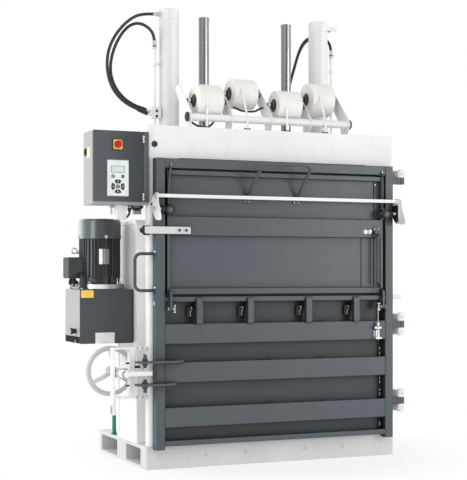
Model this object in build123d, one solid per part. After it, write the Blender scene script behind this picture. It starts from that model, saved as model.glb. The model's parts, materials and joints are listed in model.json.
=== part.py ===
from build123d import *
import os
from math import asin, cos, hypot, radians, sin, sqrt, tan

# A vertical recycling baler with twin press cylinders, a full-height front door and a loading flap.
# Millimetres. The origin is the centre of the base's footprint on the floor, +Z up, front towards -Y.

# Base
BASE_W = 1590.0
BASE_D = 868.0
BASE_H = 130.0
PLATE = 8.0
FORK_FLOOR = 16.0
FORK_ROOF = 20.0
FRONT_BEAM = 92.0
FRONT_CHANNEL = 255.0
MIDDLE_BEAM = 161.0
REAR_CHANNEL = 303.0
BASE_MARK_X = (190.0, 439.0)
BASE_MARK_Z = 75.0
BASE_MARK_SIZE = 26.0
BASE_MARK_DEPTH = 3.0

# Press body
BODY_INSET = 69.0
BODY_D = 811.0
SIDE_WALL_W = 126.0
WALL_SHEET = 6.0
FLOOR_T = 16.0
FLOOR_GAP = 1.0
STRAP_GROOVES = (0.275, 0.85)
STRAP_GROOVE_W = 26.0
STRAP_GROOVE_DEPTH = 10.0
POST_INSET = 10.0
POST_D = 60.0
POST_CORNER_R = 28.0
SIDE_SLOT_Y = (76.0, 118.0)
SIDE_SLOT_Z = (160.0, 300.0)
HEADER_BOTTOM = 1748.0
HEADER_TOP = 1928.0
HEADER_INSET = 11.0
HEADER_D = 40.0
HEADER_SHEET = 6.0
DECK_BOTTOM = 1800.0
DECK_TOP = 1920.0
DECK_SHEET = 10.0
REAR_SHEET = 8.0
REAR_RIB_H = 60.0
REAR_RIB_D = 46.0
REAR_RIB_Z = (250.0, 560.0, 870.0, 1180.0, 1490.0)
COVER_FRONT = 156.0
COVER_BACK = 508.0
COVER_TOP = 1405.0
COVER_CORNER_R = 36.0
COVER_SHEET = 3.0
PRESSED_PANEL = 26.0
PRESSED_DEPTH = 5.0

# Press cylinders, guide columns and platen
PRESS_LINE = 422.0
CYLINDER_INSET = 101.0
BARREL_R = 60.0
BARREL_BORE_R = 50.0
CYLINDER_TOP = 2670.0
CAP_T = 60.0
PORT_DROP = 32.0
PORT_STUB = 14.0
GLAND_T = 60.0
FLANGE_R = 80.0
FLANGE_T = 24.0
ROD_R = 35.0
PISTON_T = 50.0
PISTON_TOP_GAP = 30.0
RUNNING_GAP = 0.06
COLUMN_PITCH = 224.0
COLUMN_R = 31.0
COLUMN_TOP = 2640.0
COLUMN_CAP_R = 33.0
COLUMN_CAP_T = 14.0
BUSH_WALL = 12.0
BUSH_FLANGE_R = 66.0
BUSH_FLANGE_T = 18.0
PLATEN_BOTTOM = 1660.0
PLATEN_H = 130.0
PLATEN_SIDE_GAP = 8.0
PLATEN_FACE_T = 14.0
PLATEN_RIB_T = 10.0

# Door
DOOR_INSET = 38.0
DOOR_T = 61.0
DOOR_GAP = 1.0
DOOR_BOTTOM = 115.0
DOOR_TOP = 1740.0
STILE_W = 54.0
TUBE_WALL = 4.0
TUBE_R = 6.0
SKIN_T = 6.0
TOP_RAIL_H = 55.0
SILL_Z = (938.0, 968.0)
TUBES_Z = ((703.0, 816.0), (488.0, 601.0), (238.0, 349.0), (134.0, 165.0))
HOOK_X = (186.0, 501.0)
HOOK_W = 36.0
HOOK_BAR_T = 14.0
HOOK_LAP = 6.0
HOOK_THROAT_GAP = 16.0
SIDE_HANDLE_Z = (1002.0, 1207.0)
SIDE_HANDLE_REACH = 114.0
SIDE_HANDLE_R = 9.0
SIDE_HANDLE_BEND = 36.0

# Door hinges
HINGE_OUT = 66.0
HINGE_Y = -30.0
HINGE_PIN_R = 14.0
HINGE_BARREL_R = 26.0
HINGE_BLOCK_H = 42.0
HINGE_KNUCKLE_H = 40.0
HINGE_SPLIT = 0.5
HINGES_Z = (1656.0, 791.0, 331.0)
CATCH_Z = 955.0

# Loading flap
FLAP_SIDE_GAP = 14.0
FLAP_BOTTOM = 982.0
FLAP_TOP = 1674.0
FLAP_SHEET = 5.0
FLAP_FACE = -34.0
FLAP_PROUD = -56.0
FLAP_BACK = -12.0
FLAP_RAIL_H = 24.0
FLAP_BAND_Z = (1312.0, 1420.0)
FLAP_FOOT_H = 31.0
FLAP_FLANGE_W = 16.0
FLAP_BEND = 4.0
FLAP_PIVOT_Z = 900.0
FLAP_PIVOT_Y = -76.0
FLAP_PIN_R = 8.0
FLAP_LUG_T = 12.0
FLAP_LUG_H = 24.0
FLAP_STRIP_W = 62.0
FLAP_STRIP_INSET = 75.0
FLAP_STRIP_T = 5.0
HANDLE_R = 9.0
HANDLE_FOOT_X = (-196.0, 118.0)
HANDLE_FOOT_Z = 1524.0
HANDLE_TOP_Z = 1716.0
HANDLE_OUT = 150.0
HANDLE_SPREAD = 36.0
HANDLE_BEND = 44.0

# Latch bar
LATCH_Z = 1455.0
LATCH_Y = -82.0
LATCH_SHAFT_R = 8.0
LATCH_BAR_Z = 1528.0
LATCH_BAR_Y = -104.0
LATCH_BAR_H = 20.0
LATCH_BAR_D = 12.0
LEVER_T = 8.0
LEVER_GAP = 4.0
LATCH_BLOCK_W = 34.0
LATCH_BLOCK_OUT = 8.0
LATCH_BLOCK_H = 60.0
LATCH_TOE = 62.0
STRIKER_R = 7.0
STRIKER_GAP = 2.0
STRIKER_Y = -26.0
STRIKER_Z = 1482.0

# Flap switch
SWITCH_ARM_Z = 1338.0
SWITCH_ARM_H = 40.0
SWITCH_ARM_T = 6.0
SWITCH_ARM_Y = -72.0
SWITCH_ARM_OVERHANG = 41.0
SWITCH_ARM_ON_FLAP = 134.0
SWITCH_R = 18.0

# Door lock
LOCK_Z = 545.0
SPINDLE_R = 12.0
WHEEL_Y = 190.0
WHEEL_R = 141.0
WHEEL_SIDE_GAP = 6.0
WHEEL_RIM_R = 12.0
WHEEL_HUB_R = 30.0
WHEEL_HUB_L = 60.0
WHEEL_SPOKES = 3
LOCK_FRAME_LEFT = 46.0
LOCK_FRAME_RIGHT = 85.0
LOCK_FRAME_H = 286.0
LOCK_FRAME_D = 46.0
LOCK_FRAME_T = 12.0
LOCK_POST_W = 32.0
CLAW_SIZE = 26.0
CLAW_Y = -74.0
CLAW_REACH = 158.0
LUG_T = 12.0
LUG_OVERHANG = 113.0
LUG_ON_DOOR = (159.0, 117.0)
LUG_OUT = 42.0
LOCK_BOLT_OUT = 65.0
LOCK_BOLT_R = 10.0
LOCK_BOLT_GAP = 6.0

# Power unit
TANK_W = 315.0
TANK_FRONT = 211.0
TANK_D = 304.0
TANK_FACE_INSET = 12.0
TANK_BOTTOM = 700.0
TANK_TOP = 1008.0
TANK_FACE_T = 6.0
TANK_R = 10.0
DRAIN_IN = 90.0
DRAIN_UP = 70.0
MOTOR_X_IN = 158.0
MOTOR_Y = 353.0
MOTOR_R = 106.0
MOTOR_FIN_R = 119.0
MOTOR_FIN_T = 4.0
MOTOR_FINS = 36
MOTOR_TOP = 1308.0
MOTOR_FLANGE_R = 142.0
MOTOR_FLANGE_T = 28.0
MOTOR_NECK_H = 36.0
MOTOR_NECK_IN = 6.0
FLANGE_NUT = 13.0
COWL_R = 122.0
COWL_TOP = 1410.0
COWL_SHEET = 2.5
SHAFT_R = 14.0
TERMINAL_W = 82.0
TERMINAL_D = 116.0
TERMINAL_Z = (1069.0, 1190.0)
CONDUIT_IN = 24.0
CONDUIT_BACK = 48.0
CONDUIT_RISE = 84.0
CONDUIT_R = 12.0
CONDUIT_BEND = 20.0

# Control cabinet
CABINET_W = 321.0
CABINET_BOTTOM = 1478.0
CABINET_TOP = 1884.0
CABINET_D = 167.0
CABINET_FRONT = -2.0
CABINET_SHEET = 2.0
CAB_DOOR_BOTTOM = 1495.0
CAB_DOOR_T = 18.0
CAB_DOOR_MARGIN = 2.0
CAB_STRIP_W = 34.0
CAB_HINGE_Z = (1522.0, 1841.0)
CAB_HINGE_R = 5.0
SWITCH_PLATE = 54.0
SWITCH_PLATE_T = 3.0
CONTROLS_IN = 139.0
MAIN_SWITCH_Z = 1808.0
KNOB_R = 20.0
KEYPAD_W = 127.0
KEYPAD_Z = (1522.0, 1723.0)
KEYPAD_T = 4.0
KEY_TRAVEL = 1.0
KEY_GAP = 0.3
KEY_PROUD = 1.6
ROUND_KEY_R = 9.0
ROUND_KEY_X = 28.0
ROUND_KEY_Z = 1632.0
KEY_RING_Z = 1576.0
KEY_RING_R = (18.0, 38.0)
KEY_SPAN = 66.0
CENTRE_KEY_R = 11.0

# Strap roll stand
STAND_PITCH = 254.0
STAND_FRONT = 52.0
STAND_PLATE_T = 4.0
STAND_PLATE_W = 74.0
STAND_RISE = 205.0
STAND_LEAN = 165.0
ROLL_L = 152.0
ROLL_RADII = (95.0, 88.0, 88.0, 100.0)
ROLL_CORE_R = 38.0
ROLL_CORE_WALL = 5.0
ROLL_Y = (126.0, 205.0, 126.0, 205.0)
ROLL_RISE = (103.0, 166.0, 101.0, 158.0)
AXLE_R = 10.0
HUB_T = 12.0
STRAP_TUBE_R = 22.0
STRAP_TUBE_RISE = 72.0
STRAP_TUBE_Y = 62.0

# Hydraulic lines
PIPE_R = 7.0
PIPE_GAP = 32.0
LEFT_PIPE_TOP = 2402.0
RIGHT_PIPE_TOP = 2425.0
COUPLING_H = 24.0
FERRULE_H = 24.0
FERRULE_R = 10.5
HOSE_R = 9.0
MANIFOLD_W = 58.0
MANIFOLD_D = 60.0
MANIFOLD_Z = (2018.0, 2084.0)
STUB_RISE = 0.34
STUB_REACH = 36.0
LEFT_PORTS = ((-14.0, 2036.0), (14.0, 2058.0))
PORT_ELBOW = 40.0
ELBOW_W = 54.0
REAR_PORTS = ((194.0, 100.0), (174.0, 150.0))
REAR_PORT_H = 32.0
REAR_PORT_RUN = 70.0

# Flap stay and release lever
STAY_IN = 49.0
STAY_Y = -84.0
STAY_R = 9.0
STAY_CABLE_R = 2.5
STAY_Z = (1034.0, 1345.0)
STAY_LOW_Z = (700.0, 896.0)
STAY_BRACKET = 40.0
LEVER_X = 13.0
LEVER_Y = 606.0
LEVER_ROD_R = 9.0
LEVER_TOP = 420.0
SLEEVE_Z = (140.0, 244.0)
SLEEVE_R = 12.0

FRONT = -BASE_D / 2
BODY_HALF = BASE_W / 2 - BODY_INSET
POST_OUTER = BASE_W / 2 - POST_INSET
CHAMBER_HALF = BODY_HALF - SIDE_WALL_W
CYLINDER_X = CHAMBER_HALF - CYLINDER_INSET
COLUMN_X = CYLINDER_X - COLUMN_PITCH
DOOR_HALF = BASE_W / 2 - DOOR_INSET
DOOR_BACK = FRONT - DOOR_GAP
DOOR_FACE = DOOR_BACK - DOOR_T
SKIN_FACE = DOOR_BACK - SKIN_T
OPENING_HALF = DOOR_HALF - STILE_W
FLAP_HALF = OPENING_HALF - FLAP_SIDE_GAP
STAY_X = FLAP_HALF - STAY_IN
LATCH_BLOCK_IN = FLAP_HALF + LATCH_BLOCK_OUT - LATCH_BLOCK_W
PRESS_Y = FRONT + PRESS_LINE
PLATEN_TOP = PLATEN_BOTTOM + PLATEN_H
HINGE_X = DOOR_HALF + HINGE_OUT
SEAT_GAP = 0.3
SPINDLE_X = -BASE_W / 2 - WHEEL_SIDE_GAP - WHEEL_R
CLAW_END_X = SPINDLE_X + CLAW_REACH
LOCK_BOLT_X = -DOOR_HALF - LOCK_BOLT_OUT
CONTROLS_X = -POST_OUTER - CABINET_W + CONTROLS_IN
SWITCH_ARM_X = (-POST_OUTER - SWITCH_ARM_OVERHANG, -FLAP_HALF + SWITCH_ARM_ON_FLAP)
PIPE_X = CYLINDER_X + BARREL_R + PIPE_GAP
PORT_Z = CYLINDER_TOP - PORT_DROP
STRAP_TUBE_Z = DECK_TOP + STRAP_TUBE_RISE
ROLL_Z = [STRAP_TUBE_Z + rise for rise in ROLL_RISE]
REAR_PORT_TOP = DECK_TOP + REAR_PORT_H


def front(depth):
    return FRONT + depth


def slab(x0, x1, y0, y1, z0, z1):
    centre = Pos((x0 + x1) / 2, (y0 + y1) / 2, (z0 + z1) / 2)
    return centre * Box(abs(x1 - x0), abs(y1 - y0), abs(z1 - z0))


def disc(x, y, z0, z1, radius):
    return Pos(x, y, (z0 + z1) / 2) * Cylinder(radius, abs(z1 - z0))


def rod_x(x0, x1, y, z, radius):
    return Pos((x0 + x1) / 2, y, z) * Rot(0, 90, 0) * Cylinder(radius, abs(x1 - x0))


def rod_y(x, y0, y1, z, radius):
    return Pos(x, (y0 + y1) / 2, z) * Rot(90, 0, 0) * Cylinder(radius, abs(y1 - y0))


def along_x(sketch, x0, x1):
    """Extrudes a sketch, whose own x and y are the model's Y and Z, from x0 to x1."""
    plane = Plane(origin=(x0, 0, 0), x_dir=(0, 1, 0), z_dir=(1, 0, 0))
    return extrude(plane * sketch, x1 - x0)


def along_y(sketch, y0, y1):
    """Extrudes a sketch, whose own x and y are the model's X and Z, from y0 to y1."""
    plane = Plane(origin=(0, y1, 0), x_dir=(1, 0, 0), z_dir=(0, -1, 0))
    return extrude(plane * sketch, y1 - y0)


def rounded(w, h, radius):
    return RectangleRounded(w, h, min(radius, w * 0.49, h * 0.49))


def ring_section(w, h, wall, radius):
    return rounded(w, h, radius) - rounded(w - 2 * wall, h - 2 * wall, max(radius - wall, 0.5))


def tube_x(x0, x1, y0, y1, z0, z1, wall, radius):
    section = Pos((y0 + y1) / 2, (z0 + z1) / 2) * ring_section(y1 - y0, z1 - z0, wall, radius)
    return along_x(section, x0, x1)


def tube_z(x0, x1, y0, y1, z0, z1, wall, radius):
    section = Pos((x0 + x1) / 2, (y0 + y1) / 2) * ring_section(x1 - x0, y1 - y0, wall, radius)
    return extrude(Plane.XY.offset(z0) * section, z1 - z0)


def outline(points):
    return make_face(Polyline(*points, close=True))


def folded(points, sheet):
    """A folded sheet's section: the points are one face, and the other lies to the left of their run."""
    offsets = []
    for i, (px, py) in enumerate(points):
        normals = []
        for a, b in ((i - 1, i), (i, i + 1)):
            if a >= 0 and b < len(points):
                dx = points[b][0] - points[a][0]
                dy = points[b][1] - points[a][1]
                length = hypot(dx, dy)
                normals.append((-dy / length, dx / length))
        nx = sum(n[0] for n in normals) / len(normals)
        ny = sum(n[1] for n in normals) / len(normals)
        stretch = sheet / (nx * nx + ny * ny)
        offsets.append((px + nx * stretch, py + ny * stretch))
    return outline(points + offsets[::-1])


def pipe_along(path, radius):
    start = Plane(origin=path @ 0, z_dir=path % 0)
    return sweep(start * Circle(radius), path=path)


def hex_bar(x, y, z0, z1, across):
    return extrude(Plane.XY.offset(z0) * (Pos(x, y) * RegularPolygon(across / sqrt(3), 6)), z1 - z0)


# Base frame


def make_base():
    base = slab(-BASE_W / 2, BASE_W / 2, FRONT, -FRONT, 0, BASE_H)
    base = fillet(base.edges().filter_by(Axis.Z), 12)
    roof = BASE_H - FORK_ROOF
    channel_1 = front(FRONT_BEAM)
    channel_2 = channel_1 + FRONT_CHANNEL + MIDDLE_BEAM
    for y0, width in ((channel_1, FRONT_CHANNEL), (channel_2, REAR_CHANNEL)):
        section = Pos(y0 + width / 2, (FORK_FLOOR + roof) / 2) * rounded(width, roof - FORK_FLOOR, 8)
        base -= along_x(section, -BASE_W, BASE_W)
    inner = BASE_W / 2 - PLATE
    cells = (
        (FRONT + PLATE, channel_1 - PLATE),
        (channel_1 + FRONT_CHANNEL + PLATE, channel_2 - PLATE),
        (channel_2 + REAR_CHANNEL + PLATE, -FRONT - PLATE),
    )
    for y0, y1 in cells:
        base -= slab(-inner, inner, y0, y1, FORK_FLOOR, BASE_H - PLATE)
    half = BASE_MARK_SIZE / 2
    for x in [side * place for place in BASE_MARK_X for side in (-1, 1)]:
        low, high = BASE_MARK_Z - half, BASE_MARK_Z + half
        mark = outline([(x - half, low), (x + half, low), (x, high)])
        base -= along_y(mark, FRONT - 1, FRONT + BASE_MARK_DEPTH)
    return base


def groove_centres():
    return [side * part * CHAMBER_HALF for part in STRAP_GROOVES for side in (-1, 1)]


def make_floor():
    half = CHAMBER_HALF - FLOOR_GAP
    floor = slab(-half, half, FRONT, front(BODY_D - REAR_SHEET) - FLOOR_GAP, BASE_H, BASE_H + FLOOR_T)
    for x in groove_centres():
        cut = STRAP_GROOVE_W / 2
        groove_z = BASE_H + FLOOR_T - STRAP_GROOVE_DEPTH
        floor -= slab(x - cut, x + cut, FRONT - 1, -FRONT, groove_z, BASE_H + 2 * FLOOR_T)
    return floor


# Press body


def make_side_walls():
    walls = []
    for side in (-1, 1):
        x0, x1 = sorted((side * CHAMBER_HALF, side * BODY_HALF))
        wall = tube_z(x0, x1, front(POST_D), front(BODY_D), BASE_H, DECK_BOTTOM, WALL_SHEET, 10)
        a, b = sorted((side * (BODY_HALF - 2 * WALL_SHEET), side * (BODY_HALF + WALL_SHEET)))
        wall -= slab(a, b, front(SIDE_SLOT_Y[0]), front(SIDE_SLOT_Y[1]), *SIDE_SLOT_Z)
        walls.append(wall)
    return walls


def make_front_frame():
    posts = []
    for side in (-1, 1):
        x0, x1 = sorted((side * CHAMBER_HALF, side * POST_OUTER))
        plan = Rectangle(x1 - x0, POST_D)
        outer = plan.vertices().sort_by(Axis.X)[:2] if side < 0 else plan.vertices().sort_by(Axis.X)[-2:]
        plan = fillet(outer, POST_CORNER_R)
        hollow = Rectangle(x1 - x0 - 2 * WALL_SHEET, POST_D - 2 * WALL_SHEET)
        near = hollow.vertices().sort_by(Axis.X)[:2] if side < 0 else hollow.vertices().sort_by(Axis.X)[-2:]
        hollow = fillet(near, POST_CORNER_R - WALL_SHEET)
        section = Pos((x0 + x1) / 2, front(POST_D / 2)) * (plan - hollow)
        post = extrude(Plane.XY.offset(BASE_H) * section, HEADER_BOTTOM - BASE_H)
        posts.append(post)
    half = BASE_W / 2 - HEADER_INSET
    box = slab(-half, half, FRONT, front(POST_D), HEADER_BOTTOM, HEADER_TOP)
    box = fillet(box.edges().filter_by(Axis.Z), 6)
    step = CHAMBER_HALF
    channel = slab(-step, step, front(HEADER_D), front(POST_D) + 1, HEADER_BOTTOM - 1, HEADER_TOP + 1)
    inside = slab(
        -half + HEADER_SHEET,
        half - HEADER_SHEET,
        FRONT + HEADER_SHEET,
        front(HEADER_D) - HEADER_SHEET,
        HEADER_BOTTOM + HEADER_SHEET,
        HEADER_TOP - HEADER_SHEET,
    )
    header = box - channel - inside
    return posts[0] + posts[1] + header


def make_deck():
    x1 = BODY_HALF
    y0, y1 = front(POST_D), front(BODY_D)
    deck = slab(-x1, x1, y0, y1, DECK_BOTTOM, DECK_TOP)
    deck = fillet(deck.edges().filter_by(Axis.Z), 8)
    t = DECK_SHEET
    inside = slab(-x1 + t, x1 - t, y0 + t, y1 - t, DECK_BOTTOM + t, DECK_TOP - t)
    for side in (-1, 1):
        inside -= disc(side * CYLINDER_X, PRESS_Y, DECK_BOTTOM, DECK_TOP, BARREL_R + t)
        inside -= disc(side * COLUMN_X, PRESS_Y, DECK_BOTTOM, DECK_TOP, COLUMN_R + BUSH_WALL + t)
    deck -= inside
    for side in (-1, 1):
        deck -= disc(side * CYLINDER_X, PRESS_Y, DECK_BOTTOM - 1, DECK_TOP + 1, BARREL_R)
        deck -= disc(side * COLUMN_X, PRESS_Y, DECK_BOTTOM - 1, DECK_TOP + 1, COLUMN_R + BUSH_WALL)
    return deck


def make_rear_wall():
    y1 = front(BODY_D)
    wall = slab(-CHAMBER_HALF, CHAMBER_HALF, y1 - REAR_SHEET, y1, BASE_H, DECK_BOTTOM)
    for z in REAR_RIB_Z:
        section = Pos(y1 + REAR_RIB_D / 2, z) * ring_section(REAR_RIB_D, REAR_RIB_H, TUBE_WALL, TUBE_R)
        wall += along_x(section, -BODY_HALF, BODY_HALF)
    slot = STRAP_GROOVE_W / 2
    for x in groove_centres():
        opening = Pos(x, BASE_H + FLOOR_T + 60) * SlotOverall(120, 2 * slot, rotation=90)
        wall -= along_y(opening, y1 - REAR_SHEET - 1, y1 + 1)
    return wall


def make_side_covers():
    covers = []
    for side in (-1, 1):
        depth = COVER_BACK - COVER_FRONT
        height = COVER_TOP - BASE_H
        face = Pos(front((COVER_FRONT + COVER_BACK) / 2), BASE_H + height / 2) * Rectangle(depth, height)
        face = fillet(face.vertices().sort_by(Axis.Y)[-2:], COVER_CORNER_R)
        box = along_x(face, 0, BODY_INSET)
        panel_w, panel_h = depth - 2 * PRESSED_PANEL, height - 2 * PRESSED_PANEL
        panel = Pos(front((COVER_FRONT + COVER_BACK) / 2), BASE_H + height / 2) * rounded(panel_w, panel_h, 18)
        outer = Pos(BODY_HALF, 0, 0) * box
        outer -= along_x(panel, BODY_HALF + BODY_INSET - PRESSED_DEPTH, BODY_HALF + BODY_INSET + 1)
        inner_face = Pos(front((COVER_FRONT + COVER_BACK) / 2), BASE_H + height / 2) * rounded(
            depth - 2 * COVER_SHEET, height - 2 * COVER_SHEET, COVER_CORNER_R - COVER_SHEET
        )
        hollow = along_x(inner_face, BODY_HALF - 1, BODY_HALF + BODY_INSET - PRESSED_DEPTH - COVER_SHEET)
        outer -= hollow
        covers.append(outer if side > 0 else mirror(outer, Plane.YZ))
    return covers


# Press cylinders, guides and platen


def make_cylinders():
    solids = []
    for side in (-1, 1):
        x = side * CYLINDER_X
        body = disc(x, PRESS_Y, DECK_BOTTOM, CYLINDER_TOP, BARREL_R)
        rim = body.edges().filter_by(GeomType.CIRCLE).sort_by(Axis.Z)[-1]
        body = fillet(rim, 5)
        body += disc(x, PRESS_Y, DECK_TOP, DECK_TOP + FLANGE_T, FLANGE_R)
        body -= disc(x, PRESS_Y, DECK_BOTTOM + GLAND_T, CYLINDER_TOP - CAP_T, BARREL_BORE_R)
        body -= disc(x, PRESS_Y, DECK_BOTTOM - 1, DECK_BOTTOM + GLAND_T + 1, ROD_R + RUNNING_GAP)
        for i in range(8):
            turn = radians(45 * i + 22.5)
            reach = (BARREL_R + FLANGE_R) / 2
            hx, hy = x + reach * cos(turn), PRESS_Y + reach * sin(turn)
            body += hex_bar(hx, hy, DECK_TOP + FLANGE_T, DECK_TOP + FLANGE_T + 8, 16)
        stub = rod_x(x, x + side * (BARREL_R + PORT_STUB), PRESS_Y, PORT_Z, 13)
        body += stub - disc(x, PRESS_Y, 0, 2 * CYLINDER_TOP, BARREL_BORE_R)
        solids.append(body)
    return solids


def make_rods():
    rods = []
    for side in (-1, 1):
        x = side * CYLINDER_X
        top = CYLINDER_TOP - CAP_T - PISTON_TOP_GAP
        rod = disc(x, PRESS_Y, PLATEN_TOP, top, ROD_R)
        piston = disc(x, PRESS_Y, top - PISTON_T, top, BARREL_BORE_R - RUNNING_GAP)
        groove = disc(x, PRESS_Y, top - PISTON_T / 2 - 5, top - PISTON_T / 2 + 5, BARREL_BORE_R + 1)
        groove -= disc(x, PRESS_Y, DECK_BOTTOM, CYLINDER_TOP, BARREL_BORE_R - 4)
        rods.append(rod + (piston - groove))
    return rods


def make_columns():
    columns = []
    for side in (-1, 1):
        x = side * COLUMN_X
        column = disc(x, PRESS_Y, PLATEN_TOP, COLUMN_TOP - COLUMN_CAP_T, COLUMN_R)
        cap = disc(x, PRESS_Y, COLUMN_TOP - COLUMN_CAP_T, COLUMN_TOP, COLUMN_CAP_R)
        cap = chamfer(cap.edges().filter_by(GeomType.CIRCLE).sort_by(Axis.Z)[-1], 4)
        columns.append(column + cap)
    return columns


def make_bushes():
    bushes = []
    for side in (-1, 1):
        x = side * COLUMN_X
        bush = disc(x, PRESS_Y, DECK_BOTTOM, DECK_TOP, COLUMN_R + BUSH_WALL)
        bush += disc(x, PRESS_Y, DECK_TOP, DECK_TOP + BUSH_FLANGE_T, BUSH_FLANGE_R)
        bush -= disc(x, PRESS_Y, DECK_BOTTOM - 1, DECK_TOP + BUSH_FLANGE_T + 1, COLUMN_R + RUNNING_GAP)
        for i in range(4):
            turn = radians(90 * i + 45)
            reach = (COLUMN_R + BUSH_WALL + BUSH_FLANGE_R) / 2
            top = DECK_TOP + BUSH_FLANGE_T
            bush += hex_bar(x + reach * cos(turn), PRESS_Y + reach * sin(turn), top, top + 7, 13)
        bushes.append(bush)
    return bushes


def make_platen():
    x1 = CHAMBER_HALF - PLATEN_SIDE_GAP
    y0 = front(HEADER_D) + PLATEN_SIDE_GAP
    y1 = front(BODY_D - REAR_SHEET) - PLATEN_SIDE_GAP
    platen = slab(-x1, x1, y0, y1, PLATEN_BOTTOM, PLATEN_TOP)
    t = PLATEN_RIB_T
    bays = (-x1, -CYLINDER_X, -COLUMN_X, 0, COLUMN_X, CYLINDER_X, x1)
    for a, b in zip(bays, bays[1:]):
        for c, d in ((y0, PRESS_Y), (PRESS_Y, y1)):
            pocket = slab(a + t, b - t, c + t, d - t, PLATEN_BOTTOM + PLATEN_FACE_T, PLATEN_TOP + 1)
            for x in (-CYLINDER_X, -COLUMN_X, COLUMN_X, CYLINDER_X):
                pocket -= disc(x, PRESS_Y, PLATEN_BOTTOM, PLATEN_TOP + 2, BARREL_R + t)
            platen -= pocket
    for x in groove_centres():
        cut = STRAP_GROOVE_W / 2
        platen -= slab(x - cut, x + cut, y0 - 1, y1 + 1, PLATEN_BOTTOM - 1, PLATEN_BOTTOM + STRAP_GROOVE_DEPTH)
    return platen


# Door


def make_stiles():
    stiles = []
    for side in (-1, 1):
        x0, x1 = sorted((side * OPENING_HALF, side * DOOR_HALF))
        stiles.append(tube_z(x0, x1, DOOR_FACE, DOOR_BACK, DOOR_BOTTOM, DOOR_TOP, TUBE_WALL, TUBE_R))
    return stiles


def make_rails():
    rails = [
        tube_x(-OPENING_HALF, OPENING_HALF, DOOR_FACE, DOOR_BACK, DOOR_TOP - TOP_RAIL_H, DOOR_TOP, TUBE_WALL, TUBE_R)
    ]
    for z0, z1 in (SILL_Z, *TUBES_Z):
        rails.append(tube_x(-OPENING_HALF, OPENING_HALF, DOOR_FACE, SKIN_FACE, z0, z1, TUBE_WALL, TUBE_R))
    return rails


def make_skin():
    return slab(-OPENING_HALF, OPENING_HALF, SKIN_FACE, DOOR_BACK, TUBES_Z[-1][0], SILL_Z[1])


def make_hooks():
    """Four straps' catches: each is a web under the sill and a bar down its front."""
    low, high = TUBES_Z[0][1], SILL_Z[0]
    depth = SKIN_FACE - DOOR_FACE
    web = Pos((DOOR_FACE + SKIN_FACE) / 2, (low + high) / 2) * Rectangle(depth, high - low)
    web -= Pos(SKIN_FACE, low) * Ellipse(depth - HOOK_THROAT_GAP, high - low - HOOK_THROAT_GAP)
    bar_low, bar_high = low - HOOK_LAP, SILL_Z[1] - HOOK_LAP
    bar = Pos(DOOR_FACE - HOOK_BAR_T / 2, (bar_low + bar_high) / 2) * Rectangle(HOOK_BAR_T, bar_high - bar_low)
    bar = fillet(bar.vertices().sort_by(Axis.X)[:2], HOOK_BAR_T - 2)
    places = [side * x for x in HOOK_X for side in (-1, 1)]
    return [along_x(web + bar, x - HOOK_W / 2, x + HOOK_W / 2) for x in places]


def make_side_handle():
    x = -DOOR_HALF
    y = DOOR_FACE + DOOR_T / 2
    low, high = SIDE_HANDLE_Z
    reach = x - SIDE_HANDLE_REACH
    points = [(x, y, low), (reach, y, low), (reach, y, high), (x, y, high)]
    handle = pipe_along(FilletPolyline(*points, radius=SIDE_HANDLE_BEND), SIDE_HANDLE_R)
    for z in (low, high):
        handle += rod_x(x - 5, x, y, z, SIDE_HANDLE_R + 7)
    return handle


def make_hinge_blocks():
    """White blocks on the right-hand post, with the pins through them."""
    y = front(HINGE_Y)
    step = HINGE_KNUCKLE_H / 2 + HINGE_SPLIT
    blocks = []
    for i, z in enumerate(HINGES_Z):
        ends = (1,) if i == 0 else (1, -1)
        for end in ends:
            z0 = z + end * step
            z1 = z0 + end * HINGE_BLOCK_H
            plan = Pos(HINGE_X, y) * Circle(HINGE_BARREL_R)
            plan += outline([
                (POST_OUTER, front(4)),
                (POST_OUTER, front(44)),
                (HINGE_X + HINGE_BARREL_R, front(20)),
                (HINGE_X + HINGE_BARREL_R, y),
                (HINGE_X - HINGE_BARREL_R, y),
            ])
            block = extrude(Plane.XY.offset(min(z0, z1)) * plan, HINGE_BLOCK_H)
            blocks.append(block)
        reach = step + HINGE_BLOCK_H + 6
        low = z - (reach if i else step - 2)
        blocks.append(disc(HINGE_X, y, low, z + reach, HINGE_PIN_R))
    catch = slab(POST_OUTER, HINGE_X + HINGE_BARREL_R, front(8), front(30), CATCH_Z - 14, CATCH_Z + 14)
    catch += rod_x(POST_OUTER, HINGE_X + HINGE_BARREL_R + 6, front(19), CATCH_Z, 7)
    joined = blocks[0]
    for block in blocks[1:]:
        joined += block
    return list(joined.solids()) + [catch]


def make_knuckles():
    y = front(HINGE_Y)
    knuckles = []
    for z in HINGES_Z:
        half = HINGE_KNUCKLE_H / 2
        plan = Pos(HINGE_X, y) * Circle(HINGE_BARREL_R)
        plan += outline([
            (DOOR_HALF, y - 20),
            (DOOR_HALF, y + 20),
            (HINGE_X, y + HINGE_BARREL_R - 4),
            (HINGE_X, y - HINGE_BARREL_R + 4),
        ])
        plan -= Pos(HINGE_X, y) * Circle(HINGE_PIN_R + RUNNING_GAP)
        knuckles.append(extrude(Plane.XY.offset(z - half) * plan, HINGE_KNUCKLE_H))
    return knuckles


# Loading flap


def flap_lug_spans():
    inner = FLAP_HALF - 6
    return [(-inner, -inner + FLAP_LUG_T), (inner - FLAP_LUG_T, inner)]


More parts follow.
